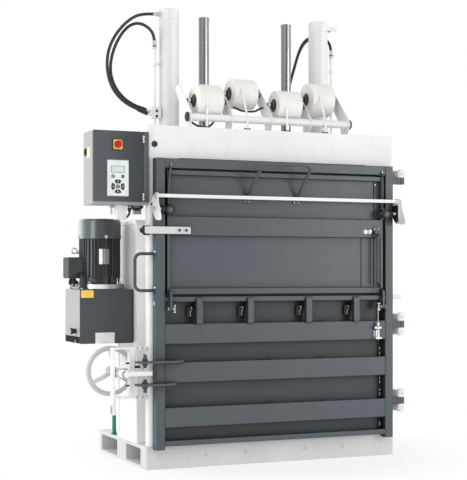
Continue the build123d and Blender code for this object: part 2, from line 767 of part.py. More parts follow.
def make_flap():
    face, proud, back = front(FLAP_FACE), front(FLAP_PROUD), front(FLAP_BACK)
    low, high = FLAP_BAND_Z
    foot, rail = FLAP_BOTTOM + FLAP_FOOT_H, FLAP_TOP - FLAP_RAIL_H
    points = [
        (back, FLAP_BOTTOM),
        (proud, FLAP_BOTTOM),
        (proud, foot),
        (face, foot + FLAP_BEND),
        (face, low - FLAP_BEND),
        (proud, low),
        (proud, high - FLAP_BEND),
        (face, high),
        (face, rail - FLAP_BEND),
        (proud, rail),
        (proud, FLAP_TOP),
        (back, FLAP_TOP),
    ]
    panel = along_x(folded(points[::-1], FLAP_SHEET), -FLAP_HALF, FLAP_HALF)
    liner = slab(-FLAP_HALF, FLAP_HALF, back - FLAP_SHEET, back, FLAP_BOTTOM + FLAP_SHEET, FLAP_TOP - FLAP_SHEET)
    panel += liner
    strip_x = FLAP_HALF - FLAP_STRIP_INSET
    strip_z = (foot + FLAP_BEND, low - FLAP_BEND)
    panel += slab(strip_x - FLAP_STRIP_W, strip_x, face - FLAP_STRIP_T, face, *strip_z)
    for side in (-1, 1):
        x0, x1 = sorted((side * (FLAP_HALF - FLAP_FLANGE_W), side * FLAP_HALF))
        panel += slab(x0, x1, proud, face + FLAP_SHEET, foot - FLAP_SHEET, rail + FLAP_SHEET)
    return panel


def make_flap_lugs():
    y, z = front(FLAP_PIVOT_Y), FLAP_PIVOT_Z
    lugs = []
    proud = front(FLAP_PROUD)
    for x0, x1 in flap_lug_spans():
        half = FLAP_LUG_H / 2
        side = Pos(y, z) * Circle(half)
        side += outline([
            (y - half, z),
            (y + half, z),
            (y + half, FLAP_BOTTOM - 3),
            (proud, FLAP_BOTTOM + 4),
            (proud, FLAP_BOTTOM + FLAP_FOOT_H),
            (y - half, FLAP_BOTTOM + 10),
        ])
        side -= Pos(y, z) * Circle(FLAP_PIN_R + RUNNING_GAP)
        lugs.append(along_x(side, x0, x1))
    block_y = front(LATCH_Y)
    for side in (-1, 1):
        x0, x1 = sorted((side * (FLAP_HALF + LATCH_BLOCK_OUT), side * LATCH_BLOCK_IN))
        half = LATCH_BLOCK_H / 2
        profile = Pos(block_y, LATCH_Z) * Circle(18)
        profile += outline([
            (block_y, LATCH_Z - 18),
            (proud, LATCH_Z - half),
            (proud, LATCH_Z + half),
            (block_y, LATCH_Z + 18),
        ])
        profile -= Pos(block_y, LATCH_Z) * Circle(LATCH_SHAFT_R + RUNNING_GAP)
        lugs.append(along_x(profile, x0, x1))
    lugs.append(make_stay_body())
    return lugs


def make_flap_handle():
    y0 = front(FLAP_FACE)
    y1 = front(FLAP_FACE - HANDLE_OUT)
    left, right = HANDLE_FOOT_X
    points = [
        (left, y0, HANDLE_FOOT_Z),
        (left + HANDLE_SPREAD, y1, HANDLE_TOP_Z),
        (right + HANDLE_SPREAD, y1, HANDLE_TOP_Z),
        (right, y0, HANDLE_FOOT_Z),
    ]
    handle = pipe_along(FilletPolyline(*points, radius=HANDLE_BEND), HANDLE_R)
    handle -= slab(-BASE_W, BASE_W, y0, y0 + 60, HANDLE_FOOT_Z - 80, HANDLE_FOOT_Z + 80)
    for x in (left, right):
        handle += slab(x - 20, x + 20, y0 - 5, y0, HANDLE_FOOT_Z - 22, HANDLE_FOOT_Z + 22)
    return handle


def make_switch_arm():
    y = front(SWITCH_ARM_Y)
    x0, x1 = SWITCH_ARM_X
    low, high = SWITCH_ARM_Z - SWITCH_ARM_H / 2, SWITCH_ARM_Z + SWITCH_ARM_H / 2
    bar = Pos((x0 + x1) / 2, SWITCH_ARM_Z) * rounded(x1 - x0, SWITCH_ARM_H, 8)
    arm = along_y(bar, y, y + SWITCH_ARM_T)
    foot = front(FLAP_PROUD)
    arm += slab(x1 - 84, x1 - 8, y + SWITCH_ARM_T, foot, low + 6, high - 6)
    for x in (x1 - 64, x1 - 24):
        arm += rod_y(x, y - 6, y, SWITCH_ARM_Z, 8)
    return arm


def make_flap_switch():
    """The black sensor on the left-hand post that the arm on the flap covers."""
    x = SWITCH_ARM_X[0] + 4
    y = front(SWITCH_ARM_Y) + SWITCH_ARM_T
    body = rod_y(x, y + 2, y + 46, SWITCH_ARM_Z, SWITCH_R)
    body += slab(x - 4, -POST_OUTER, y + 30, y + 36, SWITCH_ARM_Z - 26, SWITCH_ARM_Z + 26)
    body += slab(-POST_OUTER - 6, -POST_OUTER, y + 30, front(POST_D - 20), SWITCH_ARM_Z - 26, SWITCH_ARM_Z + 26)
    return body


def make_flap_fittings():
    """Pivot brackets on the door's sill rail, with their pins, and the two striker pins."""
    y, z = front(FLAP_PIVOT_Y), FLAP_PIVOT_Z
    fittings = []
    for x0, x1 in flap_lug_spans():
        group = rod_x(x0 - 9, x1 + 9, y, z, FLAP_PIN_R)
        for a, b in ((x0 - 6.5, x0 - 0.5), (x1 + 0.5, x1 + 6.5)):
            side = Pos(y, z) * Circle(14)
            side += outline([(y - 14, z), (DOOR_FACE, z - 10), (DOOR_FACE, SILL_Z[1] - 2), (y, z + 14)])
            group += along_x(side, a, b)
        fittings.append(group)
    for side in (-1, 1):
        x0, x1 = sorted((side * DOOR_HALF, side * (DOOR_HALF + LEVER_GAP + LEVER_T + 5)))
        fittings.append(rod_x(x0, x1, front(STRIKER_Y), STRIKER_Z, STRIKER_R))
    return fittings


# Latch bar


def make_latch():
    y, z = front(LATCH_Y), LATCH_Z
    bar_y, bar_z = front(LATCH_BAR_Y), LATCH_BAR_Z
    inner = DOOR_HALF + LEVER_GAP
    outer = inner + LEVER_T
    bar = slab(-outer, outer, bar_y, bar_y + LATCH_BAR_D, bar_z - LATCH_BAR_H / 2, bar_z + LATCH_BAR_H / 2)
    bar = fillet(bar.edges().filter_by(Axis.X), 3)
    pin_top = STRIKER_Z + STRIKER_R + STRIKER_GAP
    pin_front = front(STRIKER_Y) - STRIKER_R - STRIKER_GAP
    plate = outline([
        (bar_y - 6, bar_z + LATCH_BAR_H / 2 + 6),
        (bar_y + 22, bar_z + LATCH_BAR_H / 2 + 6),
        (pin_front + 26, pin_top + 18),
        (pin_front + 30, pin_top),
        (pin_front, pin_top),
        (pin_front, z - 4),
        (y + 14, z - 0.74 * LATCH_TOE),
        (y - 6, z - LATCH_TOE),
        (y - 22, z - 0.77 * LATCH_TOE),
        (y - 34, z),
    ])
    plate = fillet(plate.vertices(), 4)
    plate -= Pos(y - 4, z - 0.71 * LATCH_TOE) * Circle(5)
    latch = bar
    for side in (-1, 1):
        x0, x1 = sorted((side * inner, side * outer))
        latch += along_x(plate, x0, x1)
        a, b = sorted((side * outer, side * LATCH_BLOCK_IN))
        latch += rod_x(a, b, y, z, LATCH_SHAFT_R)
    return latch


# Door lock


def make_lock_frame():
    x0, x1 = SPINDLE_X - LOCK_FRAME_LEFT, SPINDLE_X + LOCK_FRAME_RIGHT
    z0, z1 = LOCK_Z - LOCK_FRAME_H / 2, LOCK_Z + LOCK_FRAME_H / 2
    y0 = FRONT
    y1 = y0 + LOCK_FRAME_D
    t = LOCK_FRAME_T
    frame = slab(x0, x1, y0, y1, z0, z1)
    frame -= slab(x0 + t, x1 - LOCK_POST_W, y0 - 1, y1 + 1, z0 + t, z1 - t)
    frame = fillet(frame.edges().filter_by(Axis.Y), 5)
    nose = rod_y(SPINDLE_X, y0 + 2, y1 - 2, LOCK_Z, SPINDLE_R + 12)
    bridge = slab(x0 + t - 1, x1 - LOCK_POST_W + 1, y1 - 14, y1 - 4, LOCK_Z - 26, LOCK_Z + 26)
    bore = rod_y(SPINDLE_X, y0 - 5, y1 + 5, LOCK_Z, SPINDLE_R + RUNNING_GAP)
    frame += bridge + nose
    for z in (z0, z1 - t):
        arm = outline([
            (x1 - 1, y0 + 2),
            (-POST_OUTER, y0 + 2),
            (-POST_OUTER, y1 - 2),
            (x1 - 1, y1 - 2),
        ])
        frame += extrude(Plane.XY.offset(z) * arm, t)
    return frame - bore


def make_handwheel():
    y = front(WHEEL_Y)
    hub_front = y - WHEEL_HUB_L
    spoke_y = hub_front + 22
    wheel = rod_y(SPINDLE_X, hub_front, y, LOCK_Z, WHEEL_HUB_R)
    wheel += rod_y(SPINDLE_X, front(LOCK_FRAME_D) + SEAT_GAP, hub_front, LOCK_Z, WHEEL_HUB_R - 8)
    rim = WHEEL_R - WHEEL_RIM_R
    for i in range(WHEEL_SPOKES):
        turn = radians(90 + 360 / WHEEL_SPOKES * i)
        c, s = cos(turn), sin(turn)
        stops = ((20, spoke_y), (62, spoke_y), (rim + 1.3, y - 1.7))
        path = FilletPolyline(*[(SPINDLE_X + r * c, at, LOCK_Z + r * s) for r, at in stops], radius=30)
        section = Plane(origin=path @ 0, x_dir=(-s, 0, c), z_dir=path % 0) * RectangleRounded(24, 12, 4)
        wheel += sweep(section, path=path)
    wheel -= rod_y(SPINDLE_X, FRONT, y + 60, LOCK_Z, SPINDLE_R + RUNNING_GAP)
    return wheel + Pos(SPINDLE_X, y, LOCK_Z) * Rot(90, 0, 0) * Torus(rim, WHEEL_RIM_R)


def make_spindle():
    y0 = front(CLAW_Y) - 22
    rod = rod_y(SPINDLE_X, y0, front(WHEEL_Y) + 14, LOCK_Z, SPINDLE_R)
    collar = rod_y(SPINDLE_X, front(CLAW_Y) + CLAW_SIZE + 1, front(-10), LOCK_Z, SPINDLE_R + 8)
    nut = Pos(SPINDLE_X, y0 + 7, LOCK_Z) * Rot(90, 0, 0) * extrude(RegularPolygon(19, 6), 7, both=True)
    return rod + collar + nut


def make_claw():
    y0 = front(CLAW_Y)
    half = CLAW_SIZE / 2
    left = SPINDLE_X - 24
    claw = slab(SPINDLE_X, CLAW_END_X, y0, y0 + CLAW_SIZE, LOCK_Z - half, LOCK_Z + half)
    claw = fillet(claw.edges().filter_by(Axis.X), 3)
    claw += rod_y(SPINDLE_X, y0, y0 + CLAW_SIZE, LOCK_Z, SPINDLE_X - left)
    return claw - rod_y(SPINDLE_X, y0 - 5, y0 + CLAW_SIZE + 5, LOCK_Z, SPINDLE_R + RUNNING_GAP)


def make_lock_lugs():
    lugs = []
    clear = CLAW_SIZE / 2 + LOCK_BOLT_GAP
    tube_low, tube_high = TUBES_Z[1]
    left = -DOOR_HALF - LUG_OVERHANG
    for z0, on_door, away in ((tube_high, LUG_ON_DOOR[0], 1), (tube_low - LUG_T, LUG_ON_DOOR[1], -1)):
        right = -DOOR_HALF + on_door
        plan = outline([
            (left, DOOR_FACE - 8),
            (left, DOOR_BACK - 26),
            (-DOOR_HALF, DOOR_BACK - 26),
            (-DOOR_HALF, DOOR_FACE),
            (right, DOOR_FACE),
            (right, DOOR_FACE - 12),
            (right - 70, DOOR_FACE - LUG_OUT),
            (left + 24, DOOR_FACE - LUG_OUT),
        ])
        lug = extrude(Plane.XY.offset(z0) * plan, LUG_T)
        bolt_y = front(CLAW_Y) + CLAW_SIZE / 2
        mid = z0 + LUG_T / 2
        inner = LOCK_Z + away * clear
        outer = mid + away * 44
        low, high = sorted((inner, outer))
        lug += disc(LOCK_BOLT_X, bolt_y, low, high, LOCK_BOLT_R)
        for z in (mid + away * (LUG_T / 2 + 6), mid - away * (LUG_T / 2 + 6)):
            lug += hex_bar(LOCK_BOLT_X, bolt_y, z - 6, z + 6, 30)
        lugs.append(lug)
    return lugs


# Power unit


def tank_box():
    x1 = -BASE_W / 2
    x0 = x1 - TANK_W
    return x0, x1, front(TANK_FRONT), front(TANK_FRONT + TANK_D)


def make_tank():
    x0, x1, y0, y1 = tank_box()
    tank = slab(x0, x1, y0 + TANK_FACE_T, y1, TANK_BOTTOM + 8, TANK_TOP)
    tank = fillet(tank.edges().filter_by(Axis.Y), TANK_R)
    tank += slab(x0 - 3, x1 - TANK_FACE_INSET, y0, y0 + TANK_FACE_T, TANK_BOTTOM, TANK_TOP)
    tank += slab(x0 + 6, x1, y0 + TANK_FACE_T, y1 - 6, TANK_BOTTOM, TANK_BOTTOM + 8)
    tank -= slab(x0 + 8, x1 - 8, y0 + TANK_FACE_T + 4, y1 - 8, TANK_BOTTOM + 14, TANK_TOP - 10)
    return tank


def motor_axis():
    return -BASE_W / 2 - MOTOR_X_IN, front(MOTOR_Y)


def make_motor():
    x, y = motor_axis()
    base = TANK_TOP
    flange_top = base + MOTOR_FLANGE_T
    fin_z0 = flange_top + MOTOR_NECK_H
    body = disc(x, y, base, flange_top, MOTOR_FLANGE_R)
    body += disc(x, y, flange_top, fin_z0, MOTOR_R - MOTOR_NECK_IN)
    body += disc(x, y, fin_z0, MOTOR_TOP, MOTOR_R)
    depth = MOTOR_FIN_R - MOTOR_R + 4
    centre = (MOTOR_FIN_R + MOTOR_R - 4) / 2
    fin = Pos(centre, 0, (fin_z0 + MOTOR_TOP - 12) / 2) * Box(depth, MOTOR_FIN_T, MOTOR_TOP - 12 - fin_z0)
    for i in range(MOTOR_FINS):
        body += Pos(x, y, 0) * Rot(0, 0, 360 / MOTOR_FINS * i) * fin
    for i in range(4):
        turn = radians(45 + 90 * i)
        reach = MOTOR_FLANGE_R - FLANGE_NUT
        hx, hy = x + reach * cos(turn), y + reach * sin(turn)
        body += hex_bar(hx, hy, flange_top, flange_top + 10, FLANGE_NUT)
    body += rod_x(x - MOTOR_FIN_R - 1, x - MOTOR_R + 10, y, sum(TERMINAL_Z) / 2, 34)
    body -= disc(x, y, flange_top + 6, MOTOR_TOP + 1, SHAFT_R + 1)
    return body


def make_cowl():
    x, y = motor_axis()
    z0 = MOTOR_TOP - 12
    cowl = disc(x, y, z0, COWL_TOP, COWL_R)
    cowl = fillet(cowl.edges().filter_by(GeomType.CIRCLE).sort_by(Axis.Z)[-1], 16)
    cowl -= disc(x, y, z0 - 1, COWL_TOP - 16, COWL_R - COWL_SHEET)
    cowl -= disc(x, y, COWL_TOP - 17, COWL_TOP - COWL_SHEET, COWL_R - 18)
    for ring in range(4):
        radius = 26 + 18 * ring
        count = 6 + 4 * ring
        for i in range(count):
            turn = radians(360 / count * i)
            cowl -= disc(x + radius * cos(turn), y + radius * sin(turn), COWL_TOP - 10, COWL_TOP + 1, 5)
    return cowl


def make_fan():
    x, y = motor_axis()
    hub_z = MOTOR_TOP + 28
    fan = disc(x, y, TANK_TOP + MOTOR_FLANGE_T + 10, hub_z + 44, SHAFT_R)
    fan += disc(x, y, hub_z, hub_z + 40, SHAFT_R + 14)
    fan += disc(x, y, hub_z, hub_z + 4, COWL_R - 24)
    blade = Pos((COWL_R - 26 + SHAFT_R) / 2, 0, hub_z + 20) * Box(COWL_R - 26 - SHAFT_R, 3, 36)
    for i in range(8):
        fan += Pos(x, y, 0) * Rot(0, 0, 45 * i) * blade
    return fan


def make_terminal_box():
    x, y = motor_axis()
    x1 = x - MOTOR_FIN_R - 1
    x0 = x1 - TERMINAL_W
    z0, z1 = TERMINAL_Z
    box = slab(x0, x1, y - TERMINAL_D / 2, y + TERMINAL_D / 2, z0, z1)
    box = fillet(box.edges().filter_by(Axis.X), 10)
    box = fillet(box.edges().group_by(Axis.X)[0], 5)
    lid = slab(x0 + 22, x0 + 26, y - TERMINAL_D, y + TERMINAL_D, z0 - 9, z1 + 9)
    lid -= slab(x0 + 21, x0 + 27, y - TERMINAL_D / 2 + 2, y + TERMINAL_D / 2 - 2, z0 + 2, z1 - 2)
    box -= lid
    for dy in (-28, 28):
        box += disc(x0 + TERMINAL_W / 2, y + dy, z0 - 18, z0, 11)
    return box


def make_tank_fittings():
    x0, _, y0, y1 = tank_box()
    parts = []
    drain = rod_x(x0 - 22, x0, y0 + DRAIN_IN, TANK_BOTTOM + DRAIN_UP, 14)
    drain += rod_x(x0 - 30, x0 - 22, y0 + DRAIN_IN, TANK_BOTTOM + DRAIN_UP, 19)
    parts.append(drain)
    filler = disc(x0 + 36, y1 - 40, TANK_TOP, TANK_TOP + 24, 18)
    filler += disc(x0 + 36, y1 - 40, TANK_TOP + 24, TANK_TOP + 46, 26)
    parts.append(filler)
    x, y, z = x0 + CONDUIT_IN, y0 + CONDUIT_BACK, TANK_TOP + CONDUIT_RISE
    box_y = front(MOTOR_Y) - TERMINAL_D / 2
    conduit = FilletPolyline((x, y, TANK_TOP), (x, y, z), (x, box_y, z), radius=CONDUIT_BEND)
    parts.append(pipe_along(conduit, CONDUIT_R))
    return parts


# Control cabinet


def cabinet_x():
    x1 = -POST_OUTER
    return x1 - CABINET_W, x1


def make_cabinet():
    x0, x1 = cabinet_x()
    y0, y1 = front(CABINET_FRONT), front(CABINET_FRONT + CABINET_D)
    box = slab(x0, x1, y0, y1, CABINET_BOTTOM, CABINET_TOP)
    box = fillet(box.edges().filter_by(Axis.Y), 6)
    s = 3 * CABINET_SHEET
    hollow = slab(x0 + s, x1 - CAB_STRIP_W - s, y0 - 1, y1 - s, CAB_DOOR_BOTTOM + 12, CABINET_TOP - s - 8)
    box -= hollow
    strip = slab(x1 - CAB_STRIP_W + CAB_DOOR_MARGIN, x1, y0 - CAB_DOOR_T, y0, CAB_DOOR_BOTTOM, CABINET_TOP)
    box += strip
    for z in CAB_HINGE_Z:
        for end in (-1, 1):
            low, high = sorted((z + end * 7.5, z + end * 20))
            box += disc(x1 - CAB_STRIP_W, y0 - CAB_DOOR_T - CAB_HINGE_R - 1, low, high, CAB_HINGE_R)
            leaf_y = y0 - CAB_DOOR_T
            box += slab(x1 - CAB_STRIP_W, x1 - CAB_STRIP_W + 14, leaf_y - CAB_HINGE_R, leaf_y, low, high)
        box += disc(x1 - CAB_STRIP_W, y0 - CAB_DOOR_T - CAB_HINGE_R - 1, z - 9, z + 9, 2.2)
    for i in range(3):
        gx = x0 + 130 + 52 * i
        box += disc(gx, y0 + 60, CABINET_BOTTOM - 16, CABINET_BOTTOM, 11)
    box += slab(x1 - 40, x1, y1 - 60, y1 - 20, CABINET_BOTTOM - 46, CABINET_BOTTOM)
    return box


def make_cabinet_door():
    x0, x1 = cabinet_x()
    hinge_x = x1 - CAB_STRIP_W
    y1 = front(CABINET_FRONT) - 0.5
    y0 = front(CABINET_FRONT) - CAB_DOOR_T
    door = slab(x0, hinge_x - CAB_DOOR_MARGIN, y0, y1, CAB_DOOR_BOTTOM, CABINET_TOP)
    door = fillet(door.edges().filter_by(Axis.Y), 3)
    door -= slab(x0 + 6, hinge_x - 8, y0 + 3, y1 + 1, CAB_DOOR_BOTTOM + 6, CABINET_TOP - 6)
    pin_y = y0 - CAB_HINGE_R - 1
    for z in CAB_HINGE_Z:
        knuckle = disc(hinge_x, pin_y, z - 7, z + 7, CAB_HINGE_R)
        knuckle += slab(hinge_x - 16, hinge_x, pin_y + 1, y0, z - 7, z + 7)
        door += knuckle - disc(hinge_x, pin_y, z - 10, z + 10, 2.2 + RUNNING_GAP)
    for kx, kz, radius in key_bores():
        door -= rod_y(kx, y0 - 1, y1 + 1, kz, radius)
    door -= rod_y(CONTROLS_X, y0 - 1, y1 + 1, MAIN_SWITCH_Z, 8 + RUNNING_GAP)
    return door


def panel_face():
    return front(CABINET_FRONT) - CAB_DOOR_T


def key_bores():
    """Where the keys' stems pass the door's sheet: x, z and hole radius."""
    x = CONTROLS_X
    bores = [(x - ROUND_KEY_X, ROUND_KEY_Z, 4.0), (x + ROUND_KEY_X, ROUND_KEY_Z, 4.0), (x, KEY_RING_Z, 4.0)]
    mid = sum(KEY_RING_R) / 2
    for turn in (0, 90, 180, 270):
        bores.append((x + mid * cos(radians(turn)), KEY_RING_Z + mid * sin(radians(turn)), 4.0))
    return bores


def key_sketch(turn, inset):
    """One curved key of the ring: the sector of an annulus, less the inset all round."""
    inner, outer = KEY_RING_R[0] + inset, KEY_RING_R[1] - inset
    half = radians(KEY_SPAN / 2)
    mid = radians(turn)
    trim = asin(inset / outer)
    a, b = mid - half + trim, mid + half - trim

    def at(radius, angle):
        return (radius * cos(angle), radius * sin(angle))

    edge = (
        ThreePointArc(at(outer, a), at(outer, mid), at(outer, b))
        + Line(at(outer, b), at(inner, b))
        + ThreePointArc(at(inner, b), at(inner, mid), at(inner, a))
        + Line(at(inner, a), at(outer, a))
    )
    return make_face(edge.edges())


def make_keypad():
    x = CONTROLS_X
    z0, z1 = KEYPAD_Z
    y1 = panel_face()
    y0 = y1 - KEYPAD_T
    plate = along_y(Pos(x, (z0 + z1) / 2) * rounded(KEYPAD_W, z1 - z0, 6), y0, y1)
    plate -= slab(x - 37, x + 37, y0 - 1, y0 + 1.2, 1654, 1688)
    for dx in (-ROUND_KEY_X, ROUND_KEY_X):
        plate -= rod_y(x + dx, y0 - 1, y1 + 1, ROUND_KEY_Z, ROUND_KEY_R + KEY_GAP)
    plate -= rod_y(x, y0 - 1, y1 + 1, KEY_RING_Z, CENTRE_KEY_R + KEY_GAP)
    for turn in (0, 90, 180, 270):
        plate -= along_y(Pos(x, KEY_RING_Z) * key_sketch(turn, 0), y0 - 1, y1 + 1)
    return plate


def make_keys():
    """The seven keys, each with a short stem into the door."""
    x = CONTROLS_X
    y1 = panel_face() - KEY_TRAVEL - 0.2
    y0 = panel_face() - KEYPAD_T - KEY_PROUD
    stem_end = panel_face() + 2
    names = ("key_left", "key_right", "key_enter", "key_next", "key_up", "key_back", "key_down")
    keys = {}
    for name, (kx, kz, hole) in zip(names, key_bores()):
        stem = rod_y(kx, y1, stem_end, kz, hole - RUNNING_GAP)
        if name in ("key_left", "key_right"):
            cap = rod_y(kx, y0, y1, kz, ROUND_KEY_R)
        elif name == "key_enter":
            cap = rod_y(kx, y0, y1, kz, CENTRE_KEY_R)
        else:
            turn = 90 * (names.index(name) - 3)
            cap = along_y(Pos(x, KEY_RING_Z) * key_sketch(turn, KEY_GAP), y0, y1)
        keys[name] = cap + stem
    return keys


def make_switch_plate():
    y1 = panel_face()
    half = SWITCH_PLATE / 2
    plate = Pos(CONTROLS_X, MAIN_SWITCH_Z) * rounded(2 * half, 2 * half, 5)
    plate -= Pos(CONTROLS_X, MAIN_SWITCH_Z) * Circle(8 + RUNNING_GAP)
    return along_y(plate, y1 - SWITCH_PLATE_T, y1)


def make_switch_knob():
    y1 = panel_face() - SWITCH_PLATE_T - SEAT_GAP
    knob = rod_y(CONTROLS_X, y1 - 9, y1, MAIN_SWITCH_Z, KNOB_R)
    grip = Pos(CONTROLS_X, MAIN_SWITCH_Z) * SlotOverall(2 * KNOB_R + 6, 13, rotation=60)
    knob += along_y(grip, y1 - 24, y1 - 8)
    return knob + rod_y(CONTROLS_X, y1 - 4, panel_face() + 8, MAIN_SWITCH_Z, 8)


# Strap roll stand


def stand_plate_x():
    return [STAND_PITCH * (i - 2) for i in range(5)]


def roll_x():
    return [STAND_PITCH * (i - 1.5) for i in range(4)]


def make_stand():
    y0, z0 = front(STAND_FRONT), DECK_TOP
    y1, z1 = y0 + STAND_LEAN, STRAP_TUBE_Z + STAND_RISE
    width = STAND_PLATE_W
    solids = []
    for x in stand_plate_x():
        side = outline([
            (y0 + 12, z0),
            (y0 + 12 + width, z0),
            (y0 + 12 + width, STRAP_TUBE_Z - 8),
            (y1 + width, z1 - 20),
            (y1 + width - 8, z1),
            (y1, z1),
            (y0 - 16, STRAP_TUBE_Z + 26),
            (y0 - 16, STRAP_TUBE_Z - 26),
        ])
        side = fillet(side.vertices(), 5)
        side -= Pos(front(STRAP_TUBE_Y), STRAP_TUBE_Z) * Circle(STRAP_TUBE_R)
        t = STAND_PLATE_T / 2
        solids.append(along_x(side, x - t, x + t))
    half = 2 * STAND_PITCH + STAND_PLATE_T / 2
    rail = slab(-half, half, y0 + 12, y0 + 12 + width, z0, z0 + 5)
    stand = rail
    for solid in solids:
        stand += solid
    for i, x in enumerate(roll_x()):
        reach = STAND_PITCH / 2 - STAND_PLATE_T / 2
        y, z = front(ROLL_Y[i]), ROLL_Z[i]
        stand += rod_x(x - reach, x + reach, y, z, AXLE_R)
        for end in (-1, 1):
            a, b = sorted((x + end * (ROLL_L / 2 - HUB_T), x + end * (ROLL_L / 2 + 1)))
            stand += rod_x(a, b, y, z, ROLL_CORE_R - ROLL_CORE_WALL - RUNNING_GAP)
            c, d = sorted((x + end * (ROLL_L / 2 + 1), x + end * (ROLL_L / 2 + 16)))
            stand += rod_x(c, d, y, z, 17)
    return stand


def make_strap_tube():
    half = 2 * STAND_PITCH + 12
    y, z = front(STRAP_TUBE_Y), STRAP_TUBE_Z
    tube = rod_x(-half, half, y, z, STRAP_TUBE_R) - rod_x(-half - 1, half + 1, y, z, STRAP_TUBE_R - 3)
    for end in (-1, 1):
        a, b = sorted((end * (half - 10), end * (half + 6)))
        tube += rod_x(a, b, y, z, STRAP_TUBE_R - 3)
        c, d = sorted((end * half, end * (half + 6)))
        tube += rod_x(c, d, y, z, STRAP_TUBE_R + 4)
    return tube


def make_rolls():
    rolls = {}
    for i, x in enumerate(roll_x()):
        y, z = front(ROLL_Y[i]), ROLL_Z[i]
        roll = rod_x(x - ROLL_L / 2, x + ROLL_L / 2, y, z, ROLL_RADII[i])
        rims = roll.edges().filter_by(GeomType.CIRCLE)
        roll = fillet(rims, 7)
        roll -= rod_x(x - ROLL_L, x + ROLL_L, y, z, ROLL_CORE_R - ROLL_CORE_WALL)
        rolls[f"strap_roll_{i + 1}"] = roll
    return rolls


# Hydraulic lines


def make_pipes():
    solids = []
    for side, top in ((-1, LEFT_PIPE_TOP), (1, RIGHT_PIPE_TOP)):
        x = side * PIPE_X
        near = side * (CYLINDER_X + BARREL_R + SEAT_GAP)
        pipe = disc(x, PRESS_Y, DECK_TOP, top, PIPE_R)
        pipe += hex_bar(x, PRESS_Y, top - 70, top - 48, 26)
        pipe += hex_bar(x, PRESS_Y, top, top + COUPLING_H, 22)
        pipe += disc(x, PRESS_Y, top + COUPLING_H, top + COUPLING_H + FERRULE_H, FERRULE_R)
        pipe += rod_x(x, near, PRESS_Y, top - 59, 7)
        low, high = sorted((x - side * 8, x + side * 24))
        pipe += slab(low, high, PRESS_Y - 22, PRESS_Y + 22, DECK_TOP, DECK_TOP + 30)
        solids.append(pipe)
    right = -CYLINDER_X - BARREL_R - SEAT_GAP
    left = right - MANIFOLD_W
    y0, y1 = PRESS_Y - MANIFOLD_D / 2, PRESS_Y + MANIFOLD_D / 2
    solids[0] += slab(left, right, y0, y1, *MANIFOLD_Z)
    for dy, z in LEFT_PORTS:
        solids[0] += pipe_along(Line(manifold_point(dy, z, -8), manifold_point(dy, z, STUB_REACH)), FERRULE_R)
    elbow = CYLINDER_X + BARREL_R + PORT_STUB
    turn = rod_x(elbow, elbow + ELBOW_W, PRESS_Y, PORT_Z, 12)
    turn += rod_y(elbow + ELBOW_W / 2, PRESS_Y, PRESS_Y + PORT_ELBOW, PORT_Z, FERRULE_R)
    solids.append(turn)
    for inward, dy in REAR_PORTS:
        x = CYLINDER_X - inward
        port = disc(x, PRESS_Y + dy, DECK_TOP, REAR_PORT_TOP, FERRULE_R)
        port += hex_bar(x, PRESS_Y + dy, DECK_TOP, DECK_TOP + 14, 30)
        solids.append(port)
    return solids


def manifold_point(dy, z, reach):
    """The point at this reach along the axis of a hose stub on the left-hand manifold."""
    face = -CYLINDER_X - BARREL_R - SEAT_GAP - MANIFOLD_W
    return (face - reach, PRESS_Y + dy, z + reach * STUB_RISE)


def hose(points):
    """A hose through the points: straight runs joined by arcs as large as the runs allow."""
    vectors = [Vector(*point) for point in points]
    runs = [b - a for a, b in zip(vectors, vectors[1:])]
    radii = []
    for a, b in zip(runs, runs[1:]):
        radii.append(0.45 * min(a.length, b.length) / tan(radians(a.get_angle(b)) / 2))
    return pipe_along(FilletPolyline(*points, radius=radii), HOSE_R)


def make_hoses_left():
    """Two hoses from the manifold: one to the port on top, the other to the pipe's coupling."""
    x = -CYLINDER_X
    y = PRESS_Y + LEFT_PORTS[0][0]
    outer = [
        manifold_point(*LEFT_PORTS[0], STUB_REACH),
        manifold_point(*LEFT_PORTS[0], STUB_REACH + 62),
        (x - 301, y, 2111),
        (x - 367, y, 2188),
        (x - 394, y, 2292),
        (x - 386, y, 2402),
        (x - 339, y, 2500),
        (x - 267, y, 2582),
        (x - 175, PRESS_Y, PORT_Z),
        (x - BARREL_R - PORT_STUB, PRESS_Y, PORT_Z),
    ]
    y = PRESS_Y + LEFT_PORTS[1][0]
    inner = [
        manifold_point(*LEFT_PORTS[1], STUB_REACH),
        manifold_point(*LEFT_PORTS[1], STUB_REACH + 52),
        (x - 276, y, 2124),
        (x - 339, y, 2195),
        (x - 367, y, 2292),
        (x - 349, y, 2400),
        (x - 304, y, 2496),
        (x - 249, y - 2, 2561),
        (x - 190, y - 6, 2581),
        (x - 131, y - 10, 2560),
        (-PIPE_X, PRESS_Y, 2510),
        (-PIPE_X, PRESS_Y, LEFT_PIPE_TOP + COUPLING_H + FERRULE_H),
    ]
    return [hose(outer), hose(inner)]


